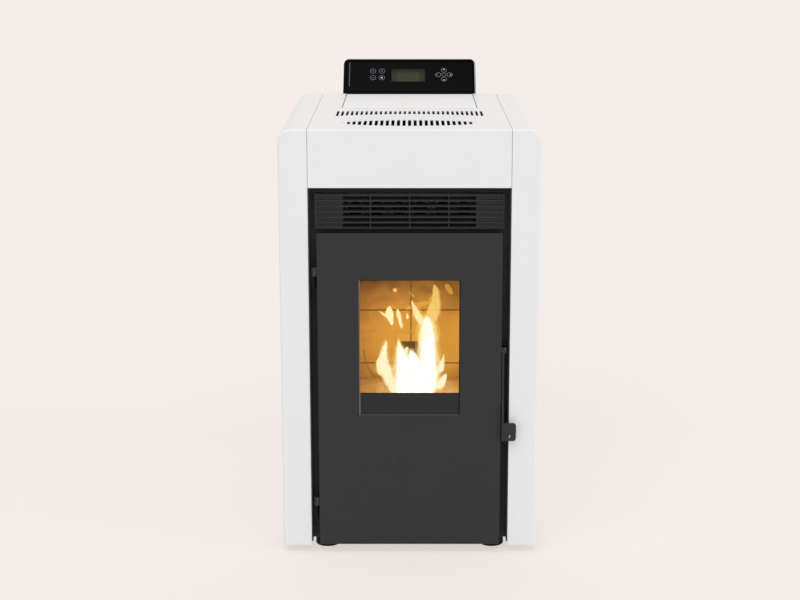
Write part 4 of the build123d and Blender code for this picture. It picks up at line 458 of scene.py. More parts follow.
def makeSurface(name, kindName, plan):
    kind = surfaceKinds[kindName]
    tree = startMaterial(name)
    if kindName == "metal":
        grain = useEffect(tree, metalGrain, Stretch=plan["stretch"], Spangle=plan["spangle"])
    else:
        grain = useEffect(tree, paintGrain, Grain=plan["grain"], Peel=plan.get("peel", plan["grain"] / 6))
    edge = useEffect(tree, softEdge, Reach=plan["edgeReach"])
    dust = useEffect(tree, settledDust, Amount=plan["dust"])
    base = plan["colour"]
    if "shade" in plan:
        base = mixColours(tree, grain["Tone"], base, plan["shade"])
    # edges take the edge tone: partly wear, partly painted highlight
    if "edge" in plan:
        base = mixColours(tree, productOf(tree, edge["Mask"], kind["worn"]), base, plan["edge"])
    if "rightEdgeHighlight" in plan:
        # painted highlight: the rounded edge on this side is painted pale, standing in for light from the
        # right
        bevel = between(tree, normalParts(tree, "Normal")[0], 0.22, 0.97)
        base = mixColours(tree, bevel, base, plan["rightEdgeHighlight"])
    base = mixColours(tree, dust["Mask"], base, kind["dustTone"])
    if {"grooveShadeTone", "bevelGlintTone", "outletEndLift"} & plan.keys():
        base = paintedPlaces(tree, plan, base)
    metallic = mathNode(tree, "SUBTRACT", 1, dust["Mask"], clamp=True) if kindName == "metal" else 0
    rough = mathNode(tree, "MULTIPLY_ADD", grain["Tone"], kind["roughSpan"], plan["roughLow"])
    bump = bumpFrom(tree, grain["Height"], plan["relief"], kind["grainDepth"], edge["Normal"])
    setShader(tree, plan.get("specular", 0.5), {"Base Color": base, "Roughness": rough, "Normal": bump,
        "Metallic": metallic})


refractory = {"body": (0.3, 0.2, 0.11), "sooty": (0.12, 0.08, 0.05), "rearFace": 0.2004,
    "sideFace": 0.1204, "jointTone": (0.1, 0.035, 0.006), "jointShare": 0.8, "arcX": 0, "arcZ": 0.35,
    "arcRadius": 0.091, "arcTop": 0.348, "arcRight": -0.03, "arcWidth": 0.0022, "arcShare": 0.7}
brickLight = {"Reach": 0.22, "Far": (0.03, 0.008, 0.001), "Half": (0.61, 0.262, 0.028),
    "Near": (0.58, 0.3, 0.018), "Centre": (0.02, frontY + 0.13, 0.37), "Squash": (1, 0.8, 1.55)}


def makeFireBrick():
    tree = startMaterial("fireBrick")
    place = objectPlace(tree)
    blotches = noiseAt(tree, place, 9, 8, Roughness=0.65)
    pores = putNode(tree, "TexVoronoi", {"Vector": place, "Scale": 420}).outputs["Distance"]
    edge = useEffect(tree, softEdge, Reach=0.0015)
    lit = useEffect(tree, fireLight, **brickLight)
    tone = rampNode(tree, blotches, [(0.3, (0.78, 0.74, 0.7)), (0.7, (1, 1, 1))])
    glow = mixColours(tree, 1, lit["Colour"], tone, "MULTIPLY")
    # joints lie back in the wall, where little of the light gets in
    split = splitParts(tree, place)
    backJoint = over(tree, split[1], frontY + refractory["rearFace"])
    sideJoint = over(tree, sizeOf(tree, split[0]), refractory["sideFace"])
    # painted shade: a thin dark arc low on the left of the wall
    away = vectorNode(tree, "SUBTRACT", place, (refractory["arcX"], 0, refractory["arcZ"]))
    ring = vectorNode(tree, "LENGTH", vectorNode(tree, "MULTIPLY", away, (1, 0, 1)))
    ring = sizeOf(tree, mathNode(tree, "SUBTRACT", ring, refractory["arcRadius"]))
    ring = productOf(tree, under(tree, ring, refractory["arcWidth"]),
        under(tree, split[2], refractory["arcTop"]), under(tree, split[0], refractory["arcRight"]),
        refractory["arcShare"])
    dark = largestOf(tree, backJoint, sideJoint, ring)
    glow = mixColours(tree, productOf(tree, dark, refractory["jointShare"]), glow, refractory["jointTone"])
    setShader(tree, 0.1, {"Base Color": mixColours(tree, blotches, refractory["body"], refractory["sooty"]),
        "Normal": bumpFrom(tree, pores, 0.35, 0.0006, edge["Normal"]), "Roughness": 0.9,
        **glowing(glow)})


fireSide = {"roof": 0.6015, "halfWidth": 0.1325, "back": 0.2125, "chuteHalf": 0.0287, "chuteShare": 0.22}


def makeFirebox():
    # painted steel, lit on its fire side and inside the chute
    tree = startMaterial("fireboxSteel")
    grain = useEffect(tree, paintGrain, Grain=900, Peel=160)
    edge = useEffect(tree, softEdge, Reach=0.001)
    dust = useEffect(tree, settledDust, Amount=0.3)
    base = mixColours(tree, grain["Tone"], (0.04, 0.036, 0.033), (0.025, 0.022, 0.02))
    lit = useEffect(tree, fireLight, Reach=0.24, Far=(0.1, 0.035, 0.005), Half=(0.42, 0.19, 0.032),
        Near=(0.9, 0.5, 0.12))
    split = splitParts(tree, objectPlace(tree))
    across = sizeOf(tree, split[0])
    room = productOf(tree, under(tree, across, fireSide["halfWidth"]),
        under(tree, split[1], frontY + fireSide["back"]))
    chute = productOf(tree, under(tree, across, fireSide["chuteHalf"]), fireSide["chuteShare"])
    room = productOf(tree, mathNode(tree, "MAXIMUM", room, chute), under(tree, split[2], fireSide["roof"]))
    setShader(tree, 0.2, {"Base Color": mixColours(tree, dust["Mask"], base, (0.35, 0.32, 0.28)),
        "Normal": bumpFrom(tree, grain["Height"], 0.2, 0.0005, edge["Normal"]), "Roughness": 0.75,
        **glowing(mixColours(tree, room, (0, 0, 0), lit["Colour"]))})


def makeCastIron():
    tree = startMaterial("castIron")
    place = objectPlace(tree)
    dust = useEffect(tree, settledDust, Amount=0.9, Clouds=40)
    base = mixColours(tree, noiseAt(tree, place, 30, 6), (0.03, 0.027, 0.025), (0.07, 0.06, 0.05))
    edge = useEffect(tree, softEdge, Reach=0.0012)
    lit = useEffect(tree, fireLight, Reach=0.17, Far=(0.1, 0.03, 0.004), Half=(0.5, 0.22, 0.035),
        Near=(1, 0.66, 0.22))
    setShader(tree, 0.2, {"Base Color": mixColours(tree, dust["Mask"], base, (0.3, 0.26, 0.22)),
        "Normal": bumpFrom(tree, noiseAt(tree, place, 700, 5), 0.4, 0.0005, edge["Normal"]), "Roughness": 0.8,
        **glowing(lit["Colour"], 0.9)})


bandPlan = {"top": 0.3157, "line": 0.0016, "tone": (0.011, 0.0115, 0.0125), "edge": (0.001, 0.001, 0.001)}


def makeFireGlass():
    # clear, with a dark printed band along the foot of the window
    tree = startMaterial("fireGlass")
    soot = noiseAt(tree, objectPlace(tree, (1, 1, 0.5)), 7, 6)
    film = rampNode(tree, soot, [(0.45, (0.02, 0.02, 0.02)), (0.8, (0.06, 0.06, 0.06))])
    height = splitParts(tree, objectPlace(tree))[2]
    body = under(tree, height, bandPlan["top"] - bandPlan["line"])
    smears = noiseAt(tree, objectPlace(tree, (1, 1, 4)), 20, 4)
    setShader(tree, 0.35, {"Alpha": mathNode(tree, "MAXIMUM", film, under(tree, height, bandPlan["top"])),
        "Base Color": mixColours(tree, body, bandPlan["edge"], bandPlan["tone"]),
        "Roughness": mathNode(tree, "MULTIPLY_ADD", smears, 0.08, 0.02)})


def dimmed(colour, share):
    return tuple(part * share for part in colour)


def makeFibre(name, colour, pitch):
    tree = startMaterial(name)
    plait = useEffect(tree, plaitedFibre, Pitch=pitch)
    grime = noiseAt(tree, objectPlace(tree), 25, 5)
    light = mixColours(tree, grime, colour, dimmed(colour, 0.5))
    # painted shade: the low parts of the weave are darker
    setShader(tree, 0.2, {"Base Color": mixColours(tree, plait["Height"], dimmed(colour, 0.35), light),
        "Normal": bumpFrom(tree, plait["Height"], 0.8, 0.0008), "Roughness": 0.92, "Sheen Weight": 0.25})


screenPlan = {"middle": (0.033, 0.038, 0.015), "side": (0.019, 0.021, 0.013), "top": (0.002, 0.0022, 0.001),
    "halfWidth": 0.0363, "centreX": -0.00315, "cell": 0.0006, "cellLine": 0.00006}


def makeScreen():
    tree = startMaterial("screenGlass")
    split = splitParts(tree, plainPlace(tree))
    across = sizeOf(tree, mathNode(tree, "SUBTRACT", split[0], screenPlan["centreX"]))
    across = mathNode(tree, "DIVIDE", across, screenPlan["halfWidth"])
    low, high = (corner.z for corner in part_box("display_window"))
    rise = mathNode(tree, "DIVIDE", mathNode(tree, "SUBTRACT", split[2], low), high - low)
    # painted shade: the screen darkens towards its sides and its top, where the bezel shades it
    sides = rampNode(tree, across, [(0.55, (0, 0, 0)), (0.78, (1, 1, 1))])
    colour = mixColours(tree, sides, screenPlan["middle"], screenPlan["side"])
    shade = rampNode(tree, rise, [(0.55, (0, 0, 0)), (0.98, (1, 1, 1))])
    colour = mixColours(tree, shade, colour, screenPlan["top"])
    # rows and columns of the display's cells
    cells = putNode(tree, "TexBrick", {"Vector": objectPlace(tree, turn=(radians(-45), 0, 0)), "Scale": 1,
        "Color1": (1, 1, 1), "Color2": (1, 1, 1), "Mortar": (0.86, 0.86, 0.86),
        "Mortar Size": screenPlan["cellLine"], "Brick Width": screenPlan["cell"],
        "Row Height": screenPlan["cell"]}, offset=0)
    haze = noiseAt(tree, objectPlace(tree), 60)
    setShader(tree, 0.12, {"Base Color": mixColours(tree, 0.8, colour, cells.outputs["Color"], "MULTIPLY"),
        "Roughness": mathNode(tree, "MULTIPLY_ADD", haze, 0.08, 0.16)})


def makeMark(name, colour, strength):
    tree = startMaterial(name)
    speck = noiseAt(tree, objectPlace(tree), 900)
    base = mixColours(tree, speck, colour, dimmed(colour, 0.75))
    # each mark also glows in its own colour by its strength: painted light
    setShader(tree, 0.2, {"Base Color": base, "Roughness": 0.5, **glowing(base, strength)})


flameTints = {
    "haze": {"grow": 1.42, "low": (1, 0.72, 0.2), "high": (1, 0.54, 0.09), "alpha": 0.12, "fade": 0.17,
        "ripple": 0.012, "waver": 0.012, "power": 1.2},
    "outer": {"grow": 1.14, "low": (1, 0.9, 0.52), "high": (1, 0.75, 0.22), "alpha": 0.27, "fade": 0.3,
        "ripple": 0.01, "waver": 0.009, "power": 1.15},
    "middle": {"grow": 0.92, "low": (1, 0.94, 0.74), "high": (1, 0.89, 0.47), "alpha": 0.42, "fade": 0.48,
        "ripple": 0.012, "waver": 0.007, "power": 1.2},
    "core": {"grow": 0.74, "low": (1, 1, 1), "high": (1, 0.98, 0.88), "alpha": 1, "fade": 0.92,
        "ripple": 0.014, "waver": 0.005, "power": 1.9},
}
flameRise = {"foot": 0.36, "height": 0.1}


def makeFlame(name, plan):
    # each shell turns from low to high colour as it rises, with streaks along it
    tree = startMaterial(name)
    height = splitParts(tree, plainPlace(tree))[2]
    rise = mathNode(tree, "DIVIDE", mathNode(tree, "SUBTRACT", height, flameRise["foot"]),
        flameRise["height"], clamp=True)
    licks = noiseAt(tree, objectPlace(tree, (1, 1, 0.3)), 70, 4, Distortion=0.8)
    fade = productOf(tree, rise, plan["fade"] - plan["alpha"])
    veil = mathNode(tree, "ADD", fade, plan["alpha"])
    streak = mathNode(tree, "MULTIPLY_ADD", licks, 2.4, -0.15)
    tone = mixColours(tree, rise, plan["low"], plan["high"])
    setShader(tree, 0, {"Alpha": mathNode(tree, "MULTIPLY", veil, streak, clamp=True), "Roughness": 1,
        "Base Color": (0, 0, 0), **glowing(tone, plan["power"])})


def makeEmber():
    tree = startMaterial("glowingPellets")
    cracks = putNode(tree, "TexVoronoi", {"Vector": objectPlace(tree), "Scale": 260},
        feature="DISTANCE_TO_EDGE").outputs["Distance"]
    heat = noiseAt(tree, objectPlace(tree), 60)
    colour = rampNode(tree, heat, [(0.25, (0.35, 0.04, 0.004)), (0.5, (1, 0.3, 0.03)),
        (0.75, (1, 0.72, 0.25))])
    setShader(tree, 0.1, {"Normal": bumpFrom(tree, cracks, 0.6, 0.0006), "Roughness": 0.9,
        "Base Color": (0.02, 0.015, 0.012), **glowing(colour)})


for kindName, plans in {"paint": paintCoats, "metal": metalFinishes, "plastic": plastics}.items():
    for name, plan in plans.items():
        makeSurface(name, kindName, plan)
makeFireBrick()
makeFirebox()
makeCastIron()
makeFireGlass()
makeFibre("sealFibre", (0.42, 0.4, 0.36), 420)
makeScreen()
makeMark("keyPrintGlow", (0.17, 0.17, 0.21), 0.12)
makeMark("keyLight", (0.55, 0.55, 0.6), 0.2)
makeEmber()
for tint, plan in flameTints.items():
    makeFlame(tint + "Flame", plan)

nodeFinish = {
    "whiteCoat": ["left_side_panel", "right_side_panel", "top_cover"],
    "lidCoat": ["hopper_lid"],
    "charcoalCoat": ["latch_lever"],
    "frameCoat": ["door_frame"],
    "doorCoat": ["door_panel"],
    "recessCoat": ["front_frame", "latch_pivot", "door_screws"],
    "grilleCoat": ["outlet_grille"],
    "furnacePaint": ["smoke_duct", "exhaust_housing"],
    "fireboxSteel": ["firebox"],
    "flatBlack": ["hopper", "hinge_brackets", "latch_catch"],
    "zincSheet": ["base_pan", "corner_posts", "rear_panel", "air_riser", "blower_housing", "hopper_guard",
        "auger_tube", "ash_drawer", "air_intake"],
    "turnedSteel": ["auger_screw", "blower_wheel", "exhaust_wheel", "igniter"],
    "stainedTube": ["exchanger_tubes"],
    "castIron": ["burn_pot", "hearth_plate"],
    "fireBrick": ["rear_fire_brick", "side_fire_bricks", "baffle_plate"],
    "fireGlass": ["door_glass"],
    "sealFibre": ["door_rope_seal", "glass_gasket"],
    "sealRubber": ["lid_seal"],
    "footRubber": ["levelling_feet"],
    "consoleBlack": ["console_housing"],
    "fasciaBlack": ["console_fascia"],
    "keyBlack": ["centre_key", "petal_key_up", "petal_key_down", "petal_key_left", "petal_key_right",
        "round_key_1", "round_key_2", "round_key_3", "round_key_4"],
    "screenGlass": ["display_window"],
    "boardGreen": ["display_board", "power_board"],
    "motorEnamel": ["auger_motor", "blower_motor", "exhaust_motor"],
    "inletBlack": ["power_inlet", "power_switch"],
}
for finishName, names in nodeFinish.items():
    for nodeName in names:
        shell = nodes[nodeName]
        if not shell.material_slots:
            shell.data.materials.append(finish[finishName])
        for place in shell.material_slots:
            place.material = finish[finishName]
print("finishes given to", sum(len(names) for names in nodeFinish.values()), "nodes")

# the fire in the burn pot
# a tongue has its widest shell, its narrowest shell, then its line from the foot up:
# place across, height and radius in millimetres
flamePlan = {
    "depth": 0.122, "flatness": 0.66, "sides": 20, "voxel": 0.0014, "lift": 0.09, "sway": 0.004,
    "tongues": {
        "bed": ("haze", "core", [(4, 262, 30), (6, 276, 40), (10, 294, 42), (12, 310, 36), (13, 322, 24),
            (13, 330, 6)]),
        "tall": ("haze", "core", [(32, 266, 14), (36, 286, 14), (40.8, 308, 19), (36.9, 335, 18.4),
            (35, 362, 17.2), (34.9, 389, 16.6), (34.6, 410, 15.4), (34, 424, 12), (33.4, 433, 6),
            (33, 436, 1.5)]),
        "leftBody": ("haze", "core", [(-8, 266, 22), (-7.6, 286, 25), (-7.2, 306, 25.4), (-7.2, 327, 22.5),
            (-10.9, 346, 15.9), (-16.5, 364, 9), (-19.8, 377, 4.9), (-22.4, 390, 1.1)]),
        "middle": ("haze", "core", [(18, 266, 22), (19, 290, 23), (17.3, 306, 22.5), (13.5, 335, 18.8),
            (8.5, 350, 12.6), (4.6, 360, 7.6), (2.2, 369, 2.1)]),
        "leftTongue": ("haze", "middle", [(-24, 276, 8), (-33.6, 292, 10), (-40.9, 311, 11.8),
            (-48.6, 333, 10.9), (-52, 348, 8.6), (-50.2, 364, 5.6), (-46.7, 377, 3), (-45.2, 386, 0.9)]),
        "leftDrop": ("haze", "middle", [(-55.6, 315, 1.1), (-58.7, 327, 4.9), (-59.6, 339, 5.6),
            (-55.8, 352, 4.1), (-51.1, 364, 1.5)]),
        "leanTop": ("haze", "middle", [(27, 416, 7.5), (20.1, 428, 8), (13.6, 442, 6.8), (7, 456, 4.3),
            (1.3, 467, 1)]),
        "rightWisp": ("outer", "middle", [(46.8, 322, 7.6), (56.2, 322, 8.4), (62.2, 334, 6.4),
            (65.4, 348, 3.4), (66.8, 360, 0.9)]),
        "rightLow": ("outer", "middle", [(50, 286, 8), (60, 300, 9.5), (66, 312, 6.5), (70.4, 322, 1.9)]),
        "topRight": ("haze", "outer", [(36.3, 416, 8), (41.3, 431, 11), (46.8, 446, 10.2), (50.4, 464, 8.2),
            (50.4, 481, 5.2), (48.5, 498, 1.9)]),
        "flickA": ("outer", "middle", [(-34.1, 414, 1.1), (-36.9, 427, 6.7), (-38.7, 441, 8.2),
            (-38.7, 450, 4.1), (-39.6, 455, 0.9)]),
        "flickB": ("outer", "middle", [(-14.4, 408, 0.9), (-18.2, 425, 4.3), (-22, 441, 4.7),
            (-24.2, 451, 1.5)]),
        "flickC": ("outer", "middle", [(-4.3, 427, 1.1), (-4.3, 433, 3.2), (-6.2, 443, 0.9)]),
        "flickD": ("outer", "middle", [(-38.8, 427, 0.9), (-48.1, 437, 3.6), (-55.5, 443, 2.8),
            (-62.9, 445, 0.9)]),
        "flickE": ("haze", "haze", [(80.3, 478, 1.5), (76.5, 486, 5.6), (73.6, 494, 3.6), (71.6, 500, 0.9)]),
        "flickF": ("haze", "haze", [(12, 468, 0.9), (8, 474, 3.2), (2, 480, 2.4), (-2, 486, 0.8)]),
        "veil": ("haze", "haze", [(-8, 446, 2), (6, 452, 8), (22, 458, 11), (38, 462, 10), (52, 462, 3)]),
        "mouth": ("haze", "middle", [(-14, 352, 3), (-10, 360, 5.2), (-7, 368, 4.4), (-5, 376, 1.4)]),
    },
}


def flameTongue(points, grow, depthShift):
    # a closed lick of flame, extruded ring by ring along its own line
    clearSelection()
    foot = points[0][1]
    # wider shells also reach higher
    points = [(x, foot + (height - foot) * (1 + flamePlan["lift"] * (grow - 1)), radius)
              for x, height, radius in points]
    x, height, radius = points[0]
    middleY = frontY + flamePlan["depth"] + depthShift
    bpy.ops.mesh.primitive_circle_add(vertices=flamePlan["sides"], radius=radius * grow / 1000,
        fill_type="NGON", location=(x / 1000, middleY, height / 1000))
    tongue = bpy.context.object
    keepPlace(tongue)
    editWhole()
    bpy.ops.transform.resize(value=(1, flamePlan["flatness"], 1),
        center_override=(x / 1000, middleY, height / 1000))
    for nextX, nextHeight, nextRadius in points[1:]:
        extrudeBy((nextX - x) / 1000, 0, (nextHeight - height) / 1000)
        scale = nextRadius / radius
        bpy.ops.transform.resize(value=(scale, scale, scale),
            center_override=(nextX / 1000, middleY, nextHeight / 1000))
        x, height, radius = nextX, nextHeight, nextRadius
    setMode("OBJECT")
    modify(tongue, SUBSURF={"levels": 2, "render_levels": 2})
    return tongue


shellOrder = list(flameTints)
for tint, plan in flameTints.items():
    licks = []
    for order, (widest, narrowest, points) in enumerate(flamePlan["tongues"].values()):
        if shellOrder.index(widest) <= shellOrder.index(tint) <= shellOrder.index(narrowest):
            licks.append(flameTongue(points, plan["grow"], flamePlan["sway"] * math.sin(2.1 * order)))
    flames = joinPieces(licks)
    fixNormals(flames)
    lick = bpy.data.textures.new(tint + "Lick", "CLOUDS")
    lick.noise_scale = plan["ripple"]
    # wavering sides, then one skin over all the tongues of a shell
    modify(flames,
        DISPLACE={"texture": lick, "texture_coords": "GLOBAL", "direction": "X", "strength": plan["waver"]},
        REMESH={"mode": "VOXEL", "voxel_size": flamePlan["voxel"]},
        SMOOTH={"factor": 0.5, "iterations": 4})
    fixNormals(flames)
    smoothAll(flames, 180)
    finishPiece(flames, tint + "_flames", "stove_body", tint + "Flame")
print("flames lit")

pelletPlan = {"count": 150, "radius": 0.003, "length": 0.016, "seed": 11, "low": 0.24, "rise": 0.032,
    "halfX": 0.038, "halfY": 0.029, "gather": 0.35, "lying": 1.57, "tip": 0.5, "roll": 0.4, "turn": 3.1,
    "edge": 0.0006}
random.seed(pelletPlan["seed"])
clearSelection()
bpy.ops.mesh.primitive_cylinder_add(vertices=10, radius=pelletPlan["radius"], depth=pelletPlan["length"])
pattern = bpy.context.object
modify(pattern, BEVEL={"width": pelletPlan["edge"]})
pelletList = []
for order in range(pelletPlan["count"]):
    pellet = pattern.copy()
    pellet.data = pattern.data.copy()
    scene.collection.objects.link(pellet)
    spread = 1 - pelletPlan["gather"] * random.random()
    pellet.location = (random.uniform(-1, 1) * pelletPlan["halfX"] * spread,
        frontY + flamePlan["depth"] + random.uniform(-1, 1) * pelletPlan["halfY"] * spread,
        pelletPlan["low"] + pelletPlan["rise"] * random.random())
    pellet.rotation_euler = (pelletPlan["lying"] + random.uniform(-pelletPlan["tip"], pelletPlan["tip"]),
        random.uniform(-pelletPlan["roll"], pelletPlan["roll"]), random.uniform(0, pelletPlan["turn"]))
    pelletList.append(pellet)
bpy.data.objects.remove(pattern)
pellets = finishPiece(joinPieces(pelletList), "burning_pellets", "stove_body", "glowingPellets")
smoothAll(pellets, 50)
print("pellets glowing")

# door rope, lid strip and glass tape in their channels
ropePlan = {"radius": 0.006, "corner": 0.01}
stripPlan = {"radius": 0.0033, "corner": 0.006}
tapePlan = {"width": 0.0118, "pressed": 0.98, "round": 0.0004}


def ropeRing(box, plan, turn, squeeze):
    # a rounded rectangle swept with a round section, then pressed into its channel
    within = Vector([plan["radius"]] * 3)
    ring = flatSheet(box[0] + within, box[1] - within, turn)
    editWhole()
    bpy.ops.mesh.bevel(offset=plan["corner"], segments=6, affect="VERTICES")
    bpy.ops.mesh.select_all(action="SELECT")
    bpy.ops.mesh.delete(type="ONLY_FACE")
    setMode("OBJECT")
    takePiece(ring)
    bpy.ops.object.convert(target="CURVE")
    ring = bpy.context.object
    ring.data.bevel_depth = plan["radius"]
    ring.data.bevel_resolution = 4
    bpy.ops.object.convert(target="MESH")
    ring = bpy.context.object
    editWhole()
    bpy.ops.transform.resize(value=squeeze, center_override=(box[0] + box[1]) / 2)
    setMode("OBJECT")
    fixNormals(ring)
    smoothAll(ring, 60)
    return ring


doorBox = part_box("door_rope_seal")
doorRope = ropeRing(doorBox, ropePlan, 90, (1, (doorBox[1].y - doorBox[0].y) / 2 / ropePlan["radius"], 1))
finishPiece(doorRope, "door_rope", "fire_door", "sealFibre")
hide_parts("door_rope_seal")

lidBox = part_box("lid_seal")
lidStrip = ropeRing(lidBox, stripPlan, 0, (1, 1, (lidBox[1].z - lidBox[0].z) / (stripPlan["radius"] * 2)))
finishPiece(lidStrip, "lid_strip", "stove_body", "sealRubber")
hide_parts("lid_seal")

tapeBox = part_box("glass_gasket")
tape = flatSheet(*tapeBox)
editWhole()
bpy.ops.mesh.inset(thickness=tapePlan["width"])
bpy.ops.mesh.delete(type="FACE")
setMode("OBJECT")
modify(tape, SOLIDIFY={"thickness": (tapeBox[1].y - tapeBox[0].y) * tapePlan["pressed"], "offset": 0},
    BEVEL={"width": tapePlan["round"], "segments": 2})
finishPiece(tape, "glass_tape", "fire_door", "sealFibre")
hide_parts("glass_gasket")
print("seals laid")

# prints on the console's keys
consoleAngle = radians(45)
consoleOrigin = Vector((0, frontY + 0.615, 0.811))
alongSlope = Vector((0, math.cos(consoleAngle), math.sin(consoleAngle)))
outOfSlope = Vector((0, -math.sin(consoleAngle), math.cos(consoleAngle)))
keyPlan = {"proud": 0.0008, "ring": 0.00055, "roundRadius": 0.006, "petalRadius": 0.0058,
    "centreRadius": 0.0047, "roundLeft": -0.0796, "roundLow": 0.0437, "stepX": 0.0192, "stepU": 0.0182,
    "crossX": 0.0745, "crossU": 0.0521, "petalReach": 0.0137, "petalInset": 0.001, "markHeight": 0.0004,
    "markChamfer": 0.00012, "markShift": 0.001, "bigMark": 0.003, "smallMark": 0.0022, "petalMark": 0.0024}


def onConsole(x, u, out):
    return consoleOrigin + Vector((x, 0, 0)) + alongSlope * u + outOfSlope * out


def keyRing(name, body, x, u, radius):
    clearSelection()
    bpy.ops.mesh.primitive_torus_add(location=onConsole(x, u, keyPlan["proud"]),
        rotation=(consoleAngle, 0, 0), major_radius=radius, minor_radius=keyPlan["ring"], major_segments=48,
        minor_segments=8)
    ring = bpy.context.object
    smoothAll(ring, 60)
    finishPiece(ring, name, body, "keyPrintGlow")


def keyMark(name, body, x, u, size, turn, finishName):
    # a small raised triangle
    clearSelection()
    bpy.ops.mesh.primitive_cylinder_add(vertices=3, radius=size, depth=keyPlan["markHeight"],
        location=onConsole(x, u, keyPlan["proud"]), rotation=(0, 0, turn))
    mark = bpy.context.object
    takePiece(mark)
    bpy.ops.object.transform_apply(location=False, scale=False)
    mark.rotation_euler = (consoleAngle, 0, 0)
    keepPlace(mark)
    modify(mark, BEVEL={"width": keyPlan["markChamfer"]})
    finishPiece(mark, name, body, finishName)


number = 0
for row in (1, 0):
    for column in (0, 1):
        number += 1
        x = keyPlan["roundLeft"] + column * keyPlan["stepX"]
        u = keyPlan["roundLow"] + row * keyPlan["stepU"]
        body = "round_key_%d_body" % number
        keyRing("round_key_ring_%d" % number, body, x, u, keyPlan["roundRadius"])
        # the last of them carries the large lit mark
        bright = number == 4
        keyMark("round_key_mark_%d" % number, body, x, u, keyPlan["bigMark" if bright else "smallMark"],
            0 if bright else radians(60 * number), "keyLight" if bright else "keyPrintGlow")
for word, (stepX, stepU) in {"up": (0, 1), "down": (0, -1), "left": (-1, 0), "right": (1, 0)}.items():
    x = keyPlan["crossX"] + stepX * keyPlan["petalReach"]
    u = keyPlan["crossU"] + stepU * keyPlan["petalReach"]
    body = "petal_key_%s_body" % word
    keyRing("petal_ring_" + word, body, x - stepX * keyPlan["petalInset"], u - stepU * keyPlan["petalInset"],
        keyPlan["petalRadius"])
    keyMark("petal_mark_" + word, body, x + stepX * keyPlan["markShift"], u + stepU * keyPlan["markShift"],
        keyPlan["petalMark"], math.atan2(stepU, stepX) - math.pi / 2,
        "keyPrintGlow" if word == "left" else "keyLight")
keyRing("centre_key_ring", "centre_key_body", keyPlan["crossX"], keyPlan["crossU"], keyPlan["centreRadius"])
print("keys marked")

# painted highlight: a pale glowing strip along the left rim of the console, standing in for light on its
# bevel
highlightPlan = {"x": -0.1307, "low": 0.02, "high": 0.087, "width": 0.0013, "proud": 0.0007, "round": 0.0005,
    "tone": (0.16, 0.16, 0.17), "glow": 0.05}
makeMark("paintedHighlightStrip", highlightPlan["tone"], highlightPlan["glow"])
clearSelection()
bpy.ops.mesh.primitive_cube_add(size=1)
highlightBar = bpy.context.object
highlightBar.scale = (highlightPlan["width"], highlightPlan["high"] - highlightPlan["low"], highlightPlan["proud"] * 2)
keepPlace(highlightBar)
modify(highlightBar, BEVEL={"width": highlightPlan["round"], "segments": 3})
highlightBar.location = onConsole(highlightPlan["x"], (highlightPlan["low"] + highlightPlan["high"]) / 2, 0)
highlightBar.rotation_euler = (consoleAngle, 0, 0)
smoothAll(highlightBar, 40)
finishPiece(highlightBar, "fascia_highlight_strip", "stove_body", "paintedHighlightStrip")

# screws of the rear panel
screwPlan = {"radius": 0.004, "head": 0.0022, "dome": 0.0009, "rim": 0.0014, "recess": 0.0009, "inset": 0.009,
    "heights": (0.075, 0.25, 0.43, 0.61, 0.74), "lowRow": (-0.1, 0, 0.1), "lowHeight": 0.047,
    "inletRow": (0.108, 0.181), "inletHeight": 0.08}


def panHead(place, towards):
    clearSelection()
    bpy.ops.mesh.primitive_cylinder_add(vertices=28, radius=screwPlan["radius"], depth=screwPlan["head"],
        location=place, rotation=(radians(90), 0, 0))
    head = bpy.context.object
    keepPlace(head)
    choose(head, "FACE", lambda face: face.normal.y * towards > 0.9)
    bpy.ops.mesh.bevel(offset=screwPlan["dome"], segments=4)
    choose(head, "FACE", lambda face: face.normal.y * towards > 0.99 and face.area > 0.00001)
    bpy.ops.mesh.inset(thickness=screwPlan["rim"])
    extrudeBy(0, -screwPlan["recess"] * towards, 0)
    setMode("OBJECT")
    smoothAll(head, 40)
    return head


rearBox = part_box("rear_panel")
screwPlaces = [(x, height) for x in (rearBox[0].x + screwPlan["inset"], rearBox[1].x - screwPlan["inset"])
               for height in screwPlan["heights"]]
screwPlaces += [(x, screwPlan["lowHeight"]) for x in screwPlan["lowRow"]]
screwPlaces += [(x, screwPlan["inletHeight"]) for x in screwPlan["inletRow"]]
rearHeads = [panHead((x, rearBox[1].y + screwPlan["head"] / 2, height), 1) for x, height in screwPlaces]
finishPiece(joinPieces(rearHeads), "rear_screws", "stove_body", "turnedSteel")
print("screws in")

# screw that holds the rear brick, lit by the fire
brickScrewPlan = {"x": -0.0288, "height": 0.469, "tone": (0.95, 0.5, 0.2), "glow": 0.85}
makeMark("litScrew", brickScrewPlan["tone"], brickScrewPlan["glow"])
brickScrew = panHead((brickScrewPlan["x"], frontY + refractory["rearFace"] - screwPlan["head"] / 2,
    brickScrewPlan["height"]), -1)
finishPiece(brickScrew, "brick_screw", "stove_body", "litScrew")

# blind ends of the outlet grille: shallow pans between the bars
blankPlan = {"inner": 0.1222, "outer": 0.1722, "low": 0.6285, "high": 0.6925, "face": 0.0122, "sheet": 0.001,
    "rim": 0.003, "dish": 0.0012}
blanks = []
for side in (-1, 1):
    left, right = sorted((side * blankPlan["inner"], side * blankPlan["outer"]))
    blankY = frontY + blankPlan["face"]
    blank = flatSheet((left, blankY, blankPlan["low"]), (right, blankY, blankPlan["high"]))
    editWhole()
    bpy.ops.mesh.inset(thickness=blankPlan["rim"])
    bpy.ops.transform.translate(value=(0, blankPlan["dish"], 0))
    setMode("OBJECT")
    fixNormals(blank)
    modify(blank, SOLIDIFY={"thickness": blankPlan["sheet"], "offset": 0})
    blanks.append(blank)
finishPiece(joinPieces(blanks), "grille_blanks", "stove_body", "grilleCoat")
print("grille ends closed")

